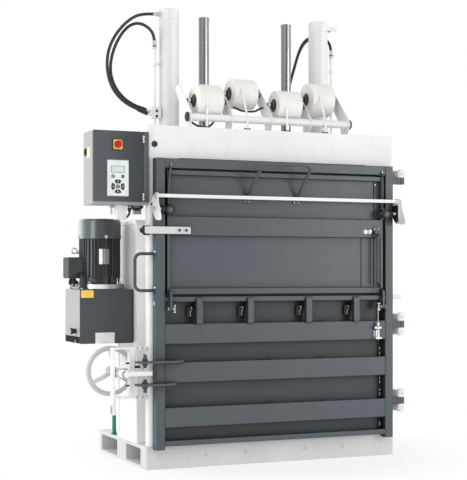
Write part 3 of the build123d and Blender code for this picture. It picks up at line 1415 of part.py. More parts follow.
def make_hoses_right():
    """Two hoses over the back of the right-hand cylinder, down to the deck behind it."""
    x, y = CYLINDER_X, PRESS_Y
    elbow_x = x + BARREL_R + PORT_STUB + ELBOW_W / 2
    run_end = REAR_PORT_TOP + REAR_PORT_RUN
    (near, near_y), (far, far_y) = REAR_PORTS
    low = [
        (PIPE_X, y, RIGHT_PIPE_TOP + COUPLING_H + FERRULE_H),
        (PIPE_X, y, 2526),
        (x + 80, y + 32, 2574),
        (x + 41, y + 80, 2598),
        (x - 12, y + 101, 2594),
        (x - 57, y + 104, 2554),
        (x - 88, y + 104, 2484),
        (x - 115, y + 104, 2394),
        (x - 144, y + 104, 2300),
        (x - 170, y + 103, 2204),
        (x - 186, y + 101, 2106),
        (x - near, y + near_y, run_end),
        (x - near, y + near_y, REAR_PORT_TOP),
    ]
    high = [
        (elbow_x, y + PORT_ELBOW, PORT_Z),
        (elbow_x, y + PORT_ELBOW + 50, PORT_Z),
        (x + 81, y + 130, 2620),
        (x + 45, y + 152, 2602),
        (x + 3, y + 154, 2588),
        (x - 37, y + 154, 2546),
        (x - 68, y + 154, 2478),
        (x - 95, y + 154, 2390),
        (x - 124, y + 154, 2297),
        (x - 150, y + 153, 2202),
        (x - 166, y + 151, 2105),
        (x - far, y + far_y, run_end),
        (x - far, y + far_y, REAR_PORT_TOP),
    ]
    return [hose(low), hose(high)]


# Flap stay and release lever


def make_stay_body():
    """The stay's dark tube, on a bracket at the right-hand end of the flap's band."""
    y = front(STAY_Y)
    low, high = STAY_Z
    stay = disc(STAY_X, y, low, high, STAY_R)
    stay += disc(STAY_X, y, low - 60, low, STAY_CABLE_R)
    half = STAY_BRACKET / 2
    stay += slab(STAY_X - half, STAY_X + half, y - 4, front(FLAP_PROUD), high - 10, high + 6)
    stay += slab(STAY_X - half, STAY_X + half, front(FLAP_PROUD) - 5, front(FLAP_PROUD), high - 34, high + 30)
    return stay


def make_stay_cable():
    """The stay's lower half, with its turnbuckle and its bracket on the door's second tube."""
    y = front(STAY_Y)
    low, high = STAY_LOW_Z
    cable = disc(STAY_X, y, low, high, STAY_CABLE_R)
    cable += disc(STAY_X, y, low + 18, low + 96, 6)
    for z in (low + 14, low + 92):
        cable += hex_bar(STAY_X, y, z, z + 12, 16)
    half = STAY_BRACKET / 2
    cable += slab(STAY_X - half, STAY_X + half, y - 10, DOOR_FACE, TUBES_Z[0][0] + 6, TUBES_Z[0][0] + 14)
    cable += slab(STAY_X - half, STAY_X + half, DOOR_FACE - 5, DOOR_FACE, TUBES_Z[0][0] + 4, TUBES_Z[0][0] + 56)
    return cable


def make_lever():
    """A short lever in a coloured sleeve behind the left-hand side cover."""
    x, y = -BASE_W / 2 + LEVER_X, front(LEVER_Y)
    lever = disc(x, y, BASE_H, LEVER_TOP, LEVER_ROD_R)
    lever += disc(x, y, *SLEEVE_Z, SLEEVE_R)
    foot = slab(x - 13, x + 27, y - 20, y + 20, BASE_H, BASE_H + 8)
    return lever + foot


NODES = {
    "base_frame": make_base(),
    "chamber_floor": make_floor(),
    "side_walls": make_side_walls(),
    "front_frame": make_front_frame(),
    "top_deck": make_deck(),
    "rear_wall": make_rear_wall(),
    "side_covers": make_side_covers(),
    "press_cylinders": make_cylinders(),
    "piston_rods": make_rods(),
    "guide_columns": make_columns(),
    "column_bushes": make_bushes(),
    "platen": make_platen(),
    "door_stiles": make_stiles(),
    "door_rails": make_rails(),
    "door_skin": make_skin(),
    "strap_hooks": make_hooks(),
    "side_handle": make_side_handle(),
    "hinge_blocks": make_hinge_blocks(),
    "hinge_knuckles": make_knuckles(),
    "flap_panel": make_flap(),
    "flap_lugs": make_flap_lugs(),
    "flap_handle": make_flap_handle(),
    "switch_arm": make_switch_arm(),
    "flap_switch": make_flap_switch(),
    "flap_fittings": make_flap_fittings(),
    "latch_bar": make_latch(),
    "lock_frame": make_lock_frame(),
    "handwheel": make_handwheel(),
    "lock_spindle": make_spindle(),
    "lock_claw": make_claw(),
    "lock_lugs": make_lock_lugs(),
    "oil_tank": make_tank(),
    "motor_housing": make_motor(),
    "fan_cowl": make_cowl(),
    "motor_fan": make_fan(),
    "terminal_box": make_terminal_box(),
    "tank_fittings": make_tank_fittings(),
    "cabinet_body": make_cabinet(),
    "cabinet_door": make_cabinet_door(),
    "keypad_plate": make_keypad(),
    "switch_plate": make_switch_plate(),
    "switch_knob": make_switch_knob(),
    "roll_stand": make_stand(),
    "strap_tube": make_strap_tube(),
    "hydraulic_pipes": make_pipes(),
    "hoses_left": make_hoses_left(),
    "hoses_right": make_hoses_right(),
    "flap_stay": make_stay_cable(),
    "release_lever": make_lever(),
    **make_keys(),
    **make_rolls(),
}

os.makedirs("parts", exist_ok=True)
for name, shape in NODES.items():
    solids = shape if isinstance(shape, list) else [shape]
    found = [solid for item in solids for solid in item.solids()]
    export_step(Compound(children=found) if len(found) > 1 else found[0], f"parts/{name}.step")
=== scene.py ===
import json
import math

import bmesh
import bpy
from mathutils import Matrix, Vector


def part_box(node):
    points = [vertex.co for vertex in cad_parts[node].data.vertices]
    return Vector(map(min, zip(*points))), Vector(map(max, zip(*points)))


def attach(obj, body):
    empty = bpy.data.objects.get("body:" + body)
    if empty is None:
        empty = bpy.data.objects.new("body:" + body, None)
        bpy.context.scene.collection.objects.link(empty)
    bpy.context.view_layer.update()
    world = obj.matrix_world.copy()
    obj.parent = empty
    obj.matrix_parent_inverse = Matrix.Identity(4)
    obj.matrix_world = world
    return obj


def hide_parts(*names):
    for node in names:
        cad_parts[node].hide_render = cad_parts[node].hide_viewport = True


# A vertical recycling baler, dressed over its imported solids. Metres, in the model's own frame.

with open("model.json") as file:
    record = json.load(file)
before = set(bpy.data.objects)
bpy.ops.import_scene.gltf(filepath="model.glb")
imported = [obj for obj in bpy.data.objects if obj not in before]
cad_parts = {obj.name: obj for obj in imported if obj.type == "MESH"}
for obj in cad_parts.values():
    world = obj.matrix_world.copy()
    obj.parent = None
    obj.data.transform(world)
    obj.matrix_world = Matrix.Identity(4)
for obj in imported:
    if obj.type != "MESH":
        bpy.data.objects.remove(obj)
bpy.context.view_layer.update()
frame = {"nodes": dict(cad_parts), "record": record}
nodes = frame["nodes"]
scene = bpy.context.scene

LEFT, RIGHT, UP, DOWN, AHEAD, BACK = (-1, 0, 0), (1, 0, 0), (0, 0, 1), (0, 0, -1), (0, -1, 0), (0, 1, 0)
SIDES = (-1, 1)
FRONT = -0.434
BASE_HALF = 0.795
BODY_HALF = 0.726
DOOR_FACE = -0.496
PRESS_Y = -0.012

# Colours, as linear values
WHITE = (0.78, 0.78, 0.778)
SLATE = (0.062, 0.079, 0.091)
SLATE_DARK = (0.042, 0.051, 0.058)
LIGHT_GREY = (0.37, 0.375, 0.385)
MOTOR_PAINT = (0.026, 0.031, 0.034)
BLACK = (0.012, 0.012, 0.013)
STEEL = (0.55, 0.545, 0.53)
POLISHED = (0.36, 0.355, 0.35)
GREEN = (0.008, 0.20, 0.105)
STRAP = (0.80, 0.79, 0.76)
STRAP_TURN = 0.0012

# Where one paint meets the next, and where painted shade starts on the left-hand stile's outer side
STILE_SHADE_X = -0.7835
SLEEVE_TOP_Z = 0.2445
CABINET_SEAM_Y = FRONT - 0.0030
TANK_SHEET_Y = FRONT + 0.2172

# The way across the picture, and the round parts whose painted reflections are laid on
ACROSS = (0.917, -0.399, 0.0)
MOTOR = (-0.953, -0.081)
MOTOR_R = 0.106
FIN_R = 0.119
COWL_R = 0.122
FLANGE_R = 0.142
MOTOR_PLATE = (-0.9636, -0.2035)
CYLINDER_X = 0.499
COLUMN_X = 0.275
COLUMN_REFLECTIONS = (
    (0.0, 1.0), (0.14, 0.92), (0.40, 0.78), (0.48, 0.42), (0.59, 0.38),
    (0.64, 1.7), (0.76, 2.0), (0.84, 1.05), (1.0, 1.0),
)
BARREL_REFLECTIONS = ((0.0, 0.80), (0.10, 0.92), (0.30, 1.12), (0.55, 1.12), (0.75, 1.30), (1.0, 1.34))
COWL_REFLECTIONS = (
    (0.0, 5.2), (0.04, 6.2), (0.09, 5.0), (0.15, 2.4), (0.22, 1.3), (0.35, 1.0), (0.41, 2.5),
    (0.47, 1.0), (0.52, 0.66), (0.64, 0.66), (0.67, 0.42), (0.74, 0.60), (1.0, 0.35),
)
MOTOR_REFLECTIONS = (
    (0.0, 3.6), (0.17, 3.8), (0.21, 1.6), (0.25, 8.5), (0.29, 0.8), (0.35, 6.0),
    (0.39, 0.5), (0.62, 0.6), (0.70, 2.0), (0.76, 0.5), (0.86, 2.0), (1.0, 1.2),
)
FLANGE_REFLECTIONS = ((0.0, 0.45), (0.10, 0.7), (0.30, 1.5), (0.55, 1.7), (0.70, 1.3), (0.85, 0.75), (1.0, 0.45))
PLATE_REFLECTIONS = (
    (0.0, 3.4), (0.30, 3.4), (0.36, 0.25), (0.48, 1.3), (0.62, 0.5), (0.75, 0.9), (0.88, 0.4), (1.0, 1.2),
)


# Materials


def wire(tree, node, inputs):
    """Links a node's inputs where a socket is given, and sets them otherwise."""
    for key, value in inputs.items():
        if isinstance(value, bpy.types.NodeSocket):
            tree.links.new(value, node.inputs[key])
        else:
            node.inputs[key].default_value = value


def add(tree, kind, inputs=None, **values):
    node = tree.nodes.new(kind)
    for key, value in values.items():
        setattr(node, key, value)
    wire(tree, node, inputs or {})
    return node


def new_material(name):
    mat = bpy.data.materials.new(name)
    mat.use_nodes = True
    tree = mat.node_tree
    tree.nodes.clear()
    bsdf = add(tree, "ShaderNodeBsdfPrincipled")
    add(tree, "ShaderNodeOutputMaterial", {"Surface": bsdf.outputs["BSDF"]})
    return mat, tree, bsdf


def spot(tree):
    """The place on the object, as a vector."""
    return add(tree, "ShaderNodeTexCoord").outputs["Object"]


def coords(tree, scale=(1, 1, 1)):
    return add(tree, "ShaderNodeMapping", {"Vector": spot(tree), "Scale": scale}).outputs["Vector"]


def axes(tree):
    return add(tree, "ShaderNodeSeparateXYZ", {"Vector": spot(tree)}).outputs


def reckon(tree, operation, *values):
    return add(tree, "ShaderNodeMath", dict(enumerate(values)), operation=operation).outputs["Value"]


def combine(tree, operation, first, second, socket=1):
    """Arithmetic on vectors. The second value goes into this socket."""
    return add(tree, "ShaderNodeVectorMath", {0: first, socket: second}, operation=operation).outputs


def noise(tree, vector, scale, detail=3.0, rough=0.5):
    inputs = {"Vector": vector, "Scale": scale, "Detail": detail, "Roughness": rough}
    return add(tree, "ShaderNodeTexNoise", inputs).outputs["Fac"]


def ramp(tree, value, stops):
    node = add(tree, "ShaderNodeValToRGB", {"Fac": value})
    while len(node.color_ramp.elements) < len(stops):
        node.color_ramp.elements.new(0.5)
    for element, (place, colour) in zip(node.color_ramp.elements, stops):
        element.position = place
        element.color = (*colour, 1.0)
    return node.outputs["Color"]


def shade(colour, amount):
    return tuple(min(1.0, c * amount) for c in colour)


def tinted(tree, value, colour, low, high):
    """A colour that drifts between these shares of itself."""
    return ramp(tree, value, [(0.3, shade(colour, low)), (0.7, shade(colour, high))])


def span(tree, value, low, high, start=0.0, end=1.0, **values):
    """Carries a value from the range of start to end over to the range of low to high."""
    inputs = {"Value": value, "From Min": start, "From Max": end, "To Min": low, "To Max": high}
    return add(tree, "ShaderNodeMapRange", inputs, **values).outputs["Result"]


def mix(tree, factor, first, second, **values):
    inputs = {0: factor, 6: first, 7: second}
    return add(tree, "ShaderNodeMix", inputs, data_type="RGBA", **values).outputs[2]


def multiply(tree, first, second):
    return mix(tree, 1.0, first, second, blend_type="MULTIPLY")


def bump(tree, bsdf, height, distance, strength=1.0, edge=0.0015):
    """Bump from a height, over edges rounded by this radius."""
    inputs = {"Height": height, "Distance": distance, "Strength": strength}
    if edge:
        inputs["Normal"] = add(tree, "ShaderNodeBevel", {"Radius": edge}, samples=4).outputs["Normal"]
    wire(tree, bsdf, {"Normal": add(tree, "ShaderNodeBump", inputs).outputs["Normal"]})


def paint_recess_shade(tree, colour, reach, low):
    """Paints shade into a colour in corners and recesses, over this distance."""
    painted_shade = add(tree, "ShaderNodeAmbientOcclusion", {"Distance": reach}, samples=8).outputs["AO"]
    return multiply(tree, colour, span(tree, painted_shade, low, 1.0, 0.30, 0.95))


def painted(name, colour, rough=0.38, peel=0.00008, coat=0.0, painted_shade=None):
    """Sprayed metal: slight cloudiness, an orange-peel surface and faint rubbed streaks."""
    mat, tree, bsdf = new_material(name)
    where = coords(tree)
    tint = tinted(tree, noise(tree, where, 2.2, 4), colour, 0.94, 1.06)
    streak = noise(tree, coords(tree, (9, 9, 1.3)), 6.0, 5, 0.6)
    final = multiply(tree, tint, ramp(tree, streak, [(0.52, (1, 1, 1)), (0.78, (0.93, 0.925, 0.915))]))
    # Painted shade in corners and recesses, where it is asked for.
    if painted_shade:
        final = paint_recess_shade(tree, final, *painted_shade)
    gloss = span(tree, noise(tree, where, 14.0, 3), rough - 0.06, rough + 0.08)
    wire(tree, bsdf, {"Base Color": final, "Roughness": gloss, "Coat Weight": coat, "Coat Roughness": 0.2})
    bump(tree, bsdf, noise(tree, where, 420.0, 2), peel, edge=0.0018)
    return mat


def metal(name, colour, rough=0.28, along=(1, 1, 60)):
    """Turned or drawn steel, with fine lines one way."""
    mat, tree, bsdf = new_material(name)
    lines = noise(tree, coords(tree, along), 9.0, 6, 0.7)
    gloss = span(tree, lines, rough - 0.07, rough + 0.1)
    tint = tinted(tree, lines, colour, 0.86, 1.1)
    wire(tree, bsdf, {"Base Color": tint, "Roughness": gloss, "Metallic": 1.0})
    bump(tree, bsdf, lines, 0.00006, edge=0.0008)
    return mat


def plastic(name, colour, rough=0.42, grain=0.00005, scale=900.0):
    mat, tree, bsdf = new_material(name)
    where = coords(tree)
    tint = tinted(tree, noise(tree, where, 30.0, 2), colour, 0.92, 1.08)
    gloss = span(tree, noise(tree, where, 60.0, 2), rough - 0.05, rough + 0.06)
    wire(tree, bsdf, {"Base Color": tint, "Roughness": gloss})
    bump(tree, bsdf, noise(tree, where, scale, 2), grain, edge=0.0008)
    return mat


def repaint(mat, change):
    """Puts in place of a material's colour what this function makes of it."""
    tree = mat.node_tree
    bsdf = next(n for n in tree.nodes if n.type == "BSDF_PRINCIPLED")
    source = bsdf.inputs["Base Color"].links[0].from_socket
    wire(tree, bsdf, {"Base Color": change(tree, source)})
    return mat


def paint_shade_along_x(mat, start, end, low):
    """Darkens a paint from one place to another along X, as the studio's light does."""
    def change(tree, source):
        depth = span(tree, axes(tree)["X"], 1.0, low, start, end, interpolation_type="SMOOTHSTEP")
        return multiply(tree, source, depth)

    return repaint(mat, change)


def paint_reflections(mat, centre, radius, stops):
    """Paints a round part's upright studio reflections and highlights over its colour, from pairs of place
    and strength.
    """
    top = max(strength for _, strength in stops)
    middle = ACROSS[1] * centre[1]

    def change(tree, source):
        place = axes(tree)
        out = reckon(tree, "SUBTRACT", reckon(tree, "ABSOLUTE", place["X"]), abs(centre[0]))
        right = reckon(tree, "MULTIPLY", out, reckon(tree, "SIGN", place["X"]))
        here = add(tree, "ShaderNodeCombineXYZ", {"X": right, "Y": place["Y"]}).outputs["Vector"]
        along = combine(tree, "DOT_PRODUCT", here, ACROSS)["Value"]
        share = span(tree, along, 0.0, 1.0, middle - radius, middle + radius)
        tones = ramp(tree, share, [(at, (strength / top,) * 3) for at, strength in stops])
        scaled = combine(tree, "SCALE", tones, top, "Scale")["Vector"]
        return combine(tree, "MULTIPLY", source, scaled)["Vector"]

    return repaint(mat, change)


def two_tone_or_side_shade(name, first, second, axis, limit, above, painted_shade=None):
    """Painted metal whose colour changes at a plane across this axis: to a second paint, or, on the stiles,
    to painted shade.
    """
    def change(tree, source):
        side = reckon(tree, "GREATER_THAN" if above else "LESS_THAN", axes(tree)[axis], limit)
        return mix(tree, side, source, tinted(tree, noise(tree, coords(tree), 2.2, 4), second, 0.94, 1.06))

    return repaint(painted(name, first, painted_shade=painted_shade), change)


def roll_material(name, y, z):
    """Wound strap: turns that show as rings on the ends, and a woven sheen on the face."""
    mat, tree, bsdf = new_material(name)
    place = axes(tree)
    squares = []
    for axis, centre in (("Y", y), ("Z", z)):
        squares.append(reckon(tree, "POWER", reckon(tree, "SUBTRACT", place[axis], centre), 2.0))
    reach = reckon(tree, "SQRT", reckon(tree, "ADD", *squares))
    wave = reckon(tree, "SINE", reckon(tree, "MULTIPLY", reach, 2 * math.pi / STRAP_TURN))
    tint = tinted(tree, noise(tree, coords(tree, (40, 3, 3)), 5.0, 3), STRAP, 0.95, 1.04)
    wire(tree, bsdf, {"Base Color": tint, "Roughness": 0.42, "Subsurface Weight": 0.05})
    bump(tree, bsdf, wave, 0.00025, 0.5, edge=0.003)
    return mat


def hose_material(name):
    """Rubber hose with a fine cloth-wrapped skin."""
    mat, tree, bsdf = new_material(name)
    where = coords(tree)
    tint = noise(tree, where, 40.0, 4)
    colour = ramp(tree, tint, [(0.3, (0.010, 0.010, 0.011)), (0.8, (0.030, 0.030, 0.032))])
    wire(tree, bsdf, {"Base Color": colour, "Roughness": span(tree, tint, 0.42, 0.6)})
    bump(tree, bsdf, noise(tree, where, 700.0, 3), 0.0002, edge=0)
    return mat


def screen_material(name):
    mat, tree, bsdf = new_material(name)
    tint = noise(tree, coords(tree), 60.0, 2)
    colour = ramp(tree, tint, [(0.3, (0.50, 0.64, 0.57)), (0.7, (0.58, 0.71, 0.64))])
    wire(tree, bsdf, {"Base Color": colour, "Roughness": 0.12, "Coat Weight": 0.6})
    return mat


MAT = {
    "white": painted("white_paint", WHITE, 0.36),
    # The slate, the door skin and the stiles get painted shade in their corners and recesses.
    "slate": painted("slate_paint", SLATE, 0.34, 0.00012, painted_shade=(0.16, 0.12)),
    "slate_dark": painted("slate_dark_paint", SLATE_DARK, 0.42, 0.00012),
    "grey": painted("light_grey_paint", LIGHT_GREY, 0.40),
    "steel": metal("ground_steel", STEEL, 0.24),
    "chrome": metal("polished_steel", POLISHED, 0.14, (1, 1, 40)),
    "column": metal("polished_column", POLISHED, 0.20, (6, 6, 0.4)),
    "barrel": painted("cylinder_paint", (0.62, 0.62, 0.62), 0.34),
    "flange": metal("flange_steel", STEEL, 0.24),
    # The door skin, seen in the gaps between the rails, is a darker copy of the slate as painted shade for
    # those gaps.
    "skin": painted("skin_paint", (0.039, 0.053, 0.062), 0.42, 0.00012, painted_shade=(0.16, 0.08)),
    # The left-hand stile's outer side, left of this plane, is painted darker as shade.
    "stile": two_tone_or_side_shade("stile_paint_and_shade", SLATE, shade(SLATE, 0.30), "X", STILE_SHADE_X, False, (0.16, 0.12)),
    "lever": two_tone_or_side_shade("lever_paint", GREEN, WHITE, "Z", SLEEVE_TOP_Z, True),
    "base": painted("base_paint", (0.60, 0.60, 0.60), 0.40),
    "casting": painted("handwheel_paint", (0.52, 0.52, 0.52), 0.34),
    # The cabinet door gets painted shade, darker towards its right.
    "cabinet_front": paint_shade_along_x(painted("cabinet_door_paint", SLATE, 0.34, 0.00012), -1.06, -0.84, 0.42),
    "zinc": metal("zinc_plate", (0.62, 0.62, 0.60), 0.34, (30, 30, 30)),
    "black": plastic("black_plastic", BLACK, 0.42),
    "rubber": hose_material("hose_rubber"),
    "motor": painted("motor_paint", MOTOR_PAINT, 0.30, 0.0002),
    "fins": painted("fin_paint", MOTOR_PAINT, 0.30, 0.0002),
    "conduit": painted("conduit_paint", (0.040, 0.047, 0.052), 0.34),
    "cowl": painted("cowl_paint", (0.074, 0.088, 0.096), 0.26, 0.00008, coat=0.2),
    "motor_plate": painted("motor_plate_metal", (0.26, 0.26, 0.26), 0.35),
    "yellow": plastic("yellow_plastic", (0.90, 0.55, 0.10), 0.38),
    "pale_yellow": plastic("pale_yellow_plastic", (0.86, 0.78, 0.38), 0.42),
    "red": plastic("red_plastic", (0.50, 0.014, 0.010), 0.30),
    "keypad": plastic("keypad_film", (0.70, 0.72, 0.73), 0.40),
    "key": plastic("key_film", (0.020, 0.022, 0.025), 0.36),
    "print": plastic("key_print", (0.72, 0.74, 0.75), 0.40),
    "screen": screen_material("display"),
    "card": plastic("card_core", (0.20, 0.10, 0.05), 0.8, 0.0002, 300.0),
    "cabinet": two_tone_or_side_shade("cabinet_body_paint", LIGHT_GREY, SLATE, "Y", CABINET_SEAM_Y, False),
    "tank": two_tone_or_side_shade("tank_paint", LIGHT_GREY, SLATE_DARK, "Y", TANK_SHEET_Y, False),
    "dull_black": plastic("dull_black", (0.004, 0.004, 0.004), 0.9),
    "strap": plastic("strap_tape", STRAP, 0.34, 0.00012, 1600.0),
}
ROUND_PARTS = (
    ("column", (COLUMN_X, PRESS_Y), 0.032, COLUMN_REFLECTIONS),
    ("barrel", (CYLINDER_X, PRESS_Y), 0.060, BARREL_REFLECTIONS),
    ("flange", MOTOR, FLANGE_R, FLANGE_REFLECTIONS),
    ("fins", MOTOR, FIN_R, MOTOR_REFLECTIONS),
    ("cowl", MOTOR, COWL_R, COWL_REFLECTIONS),
    ("motor_plate", MOTOR_PLATE, 0.030, PLATE_REFLECTIONS),
)
# Painted reflections and highlights on the round parts.
for look, *reflection_setup in ROUND_PARTS:
    paint_reflections(MAT[look], *reflection_setup)

# The looks of the solids, by slot and then by node where one differs
SLOT_LOOK = {
    "white_paint": "white",
    "deck_paint": "white",
    "slate_paint": "slate",
    "bright_steel": "chrome",
    "plain_steel": "zinc",
    "black_plastic": "black",
    "motor_grey": "motor",
    "cowl_grey": "cowl",
    "tank_paint": "tank",
    "cabinet_paint": "cabinet_front",
    "cabinet_side": "cabinet",
    "keypad": "keypad",
    "switch_yellow": "yellow",
    "switch_red": "red",
    "key_black": "key",
    "rubber_black": "rubber",
    "sleeve_green": "lever",
}
NODE_LOOK = {
    "lock_claw": "white",
    "lock_spindle": "white",
    "chamber_floor": "steel",
    "side_handle": "slate_dark",
    "press_cylinders": "barrel",
    "base_frame": "base",
    "switch_arm": "base",
    "handwheel": "casting",
    "guide_columns": "column",
    "motor_housing": "fins",
    "door_skin": "skin",
    "door_stiles": "stile",
}

slot_of = {part["node"]: part["material_slot"] for part in frame["record"]["subparts"]}
for name, obj in nodes.items():
    if name.startswith("strap_roll"):
        low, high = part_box(name)
        mat = roll_material(f"strap_turns_{name[-1]}", (low[1] + high[1]) / 2, (low[2] + high[2]) / 2)
    else:
        mat = MAT[NODE_LOOK.get(name) or SLOT_LOOK[slot_of[name]]]
    obj.data.materials.clear()
    obj.data.materials.append(mat)


# Pieces


def finish_piece(obj, look, body, smooth=35):
    scene.collection.objects.link(obj)
    obj.data.materials.append(MAT[look])
    if obj.type == "MESH":
        for poly in obj.data.polygons:
            poly.use_smooth = True
        obj.data.set_sharp_from_angle(angle=math.radians(smooth))
    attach(obj, body)


def make_piece(name, build, look, body="frame", smooth=35):
    """Makes one mesh piece with a builder that fills a bmesh."""
    bm = bmesh.new()
    build(bm)
    bmesh.ops.recalc_face_normals(bm, faces=bm.faces)
    mesh = bpy.data.meshes.new(name)
    bm.to_mesh(mesh)
    bm.free()
    finish_piece(bpy.data.objects.new(name, mesh), look, body, smooth)


def piece(look, body="frame", smooth=35):
    """Makes a piece with the builder below this line, under that builder's name."""
    return lambda build: make_piece(build.__name__, build, look, body, smooth)


# Mesh tools


def aimed(origin, direction):
    """A frame at this place whose own z points this way."""
    turn = Vector(direction).to_track_quat("Z", "Y").to_matrix().to_4x4()
    return Matrix.Translation(Vector(origin)) @ turn


def facing(origin):
    """A frame on a front face: own x runs right, own y up, own z out of the front."""
    turn = Matrix(((1, 0, 0), (0, 0, -1), (0, 1, 0))).to_4x4()
    return Matrix.Translation(Vector(origin)) @ turn


def sideways(origin, side):
    """A frame on a side face: own y runs up, own z out of that side."""
    turn = Matrix(((0, 0, side), (side, 0, 0), (0, 1, 0))).to_4x4()
    return Matrix.Translation(Vector(origin)) @ turn


def level(x, y, z=0.0):
    return Matrix.Translation((x, y, z))


def corners(dx, dz):
    """The four corners about a middle, as pairs."""
    return [(x, z) for x in (-dx, dx) for z in (-dz, dz)]


def circle(steps, radius=1.0):
    turns = [2 * math.pi * i / steps for i in range(steps)]
    return [(radius * math.cos(turn), radius * math.sin(turn)) for turn in turns]


def bridge(bm, loops, closed=False, caps=False):
    """Joins rings of vertices, each to the next."""
    for low, high in zip(loops, loops[1:] + loops[:1] * closed):
        for i in range(len(low)):
            bm.faces.new((low[i - 1], low[i], high[i], high[i - 1]))
    if caps:
        bm.faces.new(loops[0][::-1])
        bm.faces.new(loops[-1])


def layered(bm, layers, where, caps=False):
    """Adds a skin over outlines, each at its height."""
    loops = [[bm.verts.new(where @ Vector((x, y, height))) for x, y in points] for points, height in layers]
    bridge(bm, loops, caps=caps)


def spin(bm, profile, where, steps=32):
    """Adds a turned form from pairs of radius and height."""
    rings = []
    for radius, height in profile:
        points = circle(steps, radius) if radius > 1e-7 else [(0, 0)]
        rings.append([bm.verts.new(where @ Vector((x, y, height))) for x, y in points])
    for low, high in zip(rings, rings[1:]):
        for i in range(steps):
            j = (i + 1) % steps
            ends = [low[i % len(low)], low[j % len(low)], high[j % len(high)], high[i % len(high)]]
            unique = [v for n, v in enumerate(ends) if v not in ends[:n]]
            if len(unique) > 2:
                bm.faces.new(unique)


def ring(bm, inner, outer, low, high, where, steps=48, edge=0.0004):
    """Adds a washer or sleeve with softened corners."""
    rise = [(inner, high - edge), (inner + edge, high), (outer - edge, high), (outer, high - edge)]
    fall = [(outer, low + edge), (outer - edge, low), (inner + edge, low), (inner, low + edge)]
    spin(bm, [fall[-1], *rise, *fall], where, steps)


def torus(bm, centre, radius, thick, deep, steps, sides):
    """Adds a ring across Y. Its section has these half sizes outward and along Y."""
    loops = []
    for x, z in circle(steps):
        out = Vector((x, 0, z))
        section = [(radius + thick * a) * out + Vector((0, deep * b, 0)) for a, b in circle(sides)]
        loops.append([bm.verts.new(centre + point) for point in section])
    bridge(bm, loops, closed=True)


def bolt(bm, origin, direction, across, washer=True):
    """Adds a chamfered hexagon head, on a washer unless told otherwise."""
    where = aimed(origin, direction)
    base = across * 0.11 if washer else 0.0
    if washer:
        ring(bm, across * 0.25, across * 1.02, 0, base, where, 28, across * 0.02)
    corner = across / math.sqrt(3)
    top = base + across * 0.55
    rise = [(corner, base), (corner, top - across * 0.088), (corner * 0.88, top)]
    spin(bm, [(0, base), *rise, (0, top)], where, 6)


def nut(bm, origin, direction, across, height, stub=0.0):
    """Adds a hexagon nut, with the end of its bolt standing out of it."""
    where = aimed(origin, direction)
    corner = across / math.sqrt(3)
    flats = [(corner, height * 0.14), (corner, height * 0.86)]
    spin(bm, [(0, 0), (corner * 0.9, 0), *flats, (corner * 0.9, height), (0, height)], where, 6)
    if stub:
        radius = across * 0.29
        top = height + stub
        rise = [(radius, height * 0.5), (radius, top - stub * 0.2), (radius * 0.8, top)]
        spin(bm, [*rise, (0, top)], where, 20)


def cap_screw(bm, origin, direction, radius, height):
    """Adds a round head with a hexagon socket."""
    where = aimed(origin, direction)
    edge = radius * 0.12
    socket = radius * 0.55
    spin(bm, [(radius, 0), (radius, height - edge), (radius - edge, height), (socket, height)], where, 24)
    spin(bm, [(socket, height), (radius * 0.5, height * 0.4), (0, height * 0.4)], where, 24)


def dome(bm, origin, direction, radius, height):
    """Adds a rivet's shallow dome."""
    arc = [(radius * math.cos(a), height * math.sin(a)) for a in (0, 0.4, 0.8, 1.2)]
    spin(bm, [(0, 0), *arc, (0, height)], aimed(origin, direction), 20)


def plate(bm, outline, where, thick, edge=0.0006):
    """Adds a flat plate with chamfered rims. The outline runs anticlockwise in the frame's x and y."""
    inset = []
    for i, here in enumerate(outline):
        run = (Vector(outline[(i + 1) % len(outline)]) - Vector(outline[i - 1])).normalized()
        inset.append((here[0] - run.y * edge, here[1] + run.x * edge))
    layers = ((inset, 0), (outline, edge), (outline, thick - edge), (inset, thick))
    layered(bm, layers, where, caps=True)


def round_rect(w, h, r, steps=4):
    points = []
    for corner, (sx, sy) in enumerate(((1, 1), (-1, 1), (-1, -1), (1, -1))):
        for i in range(steps + 1):
            turn = math.radians(90 * (corner + i / steps))
            points.append((sx * (w / 2 - r) + r * math.cos(turn), sy * (h / 2 - r) + r * math.sin(turn)))
    return points


def smooth_line(points, steps=8):
    """A Catmull-Rom line through the points."""
    pts = [Vector(p) for p in points]
    pts = [2 * pts[0] - pts[1], *pts, 2 * pts[-1] - pts[-2]]
    line = []
    for a, b, c, d in zip(pts, pts[1:], pts[2:], pts[3:]):
        for i in range(steps):
            t = i / steps
            bend = (2 * a - 5 * b + 4 * c - d) * t * t + (3 * b - a - 3 * c + d) * t ** 3
            line.append(0.5 * (2 * b + (c - a) * t + bend))
    return [*line, pts[-2]]


def tube(bm, points, radius, steps=12):
    """Adds a round tube along the points. The radius may be one number or one for each point."""
    pts = [Vector(p) for p in points]
    radii = radius if isinstance(radius, list) else [radius] * len(pts)
    side = (pts[1] - pts[0]).normalized().orthogonal().normalized()
    loops = []
    for i, here in enumerate(pts):
        forward = (pts[min(i + 1, len(pts) - 1)] - pts[max(i - 1, 0)]).normalized()
        side = (side - forward * side.dot(forward)).normalized()
        up = forward.cross(side)
        loops.append([bm.verts.new(here + x * side + y * up) for x, y in circle(steps, radii[i])])
    bridge(bm, loops, caps=True)


def bead(bm, start, end, radius=0.0028, pitch=0.005):
    """Adds a weld bead with its ripples."""
    start, end = Vector(start), Vector(end)
    count = max(4, int((end - start).length / pitch) * 2)
    radii = [radius * (0.86 + 0.14 * (i % 2)) for i in range(count + 1)]
    radii[0] = radii[-1] = radius * 0.5
    tube(bm, [start.lerp(end, i / count) for i in range(count + 1)], radii, 8)


def short_cable(name, points, radius, look="rubber"):
    make_piece(name, lambda bm: tube(bm, smooth_line(points), radius), look)


# Hoses

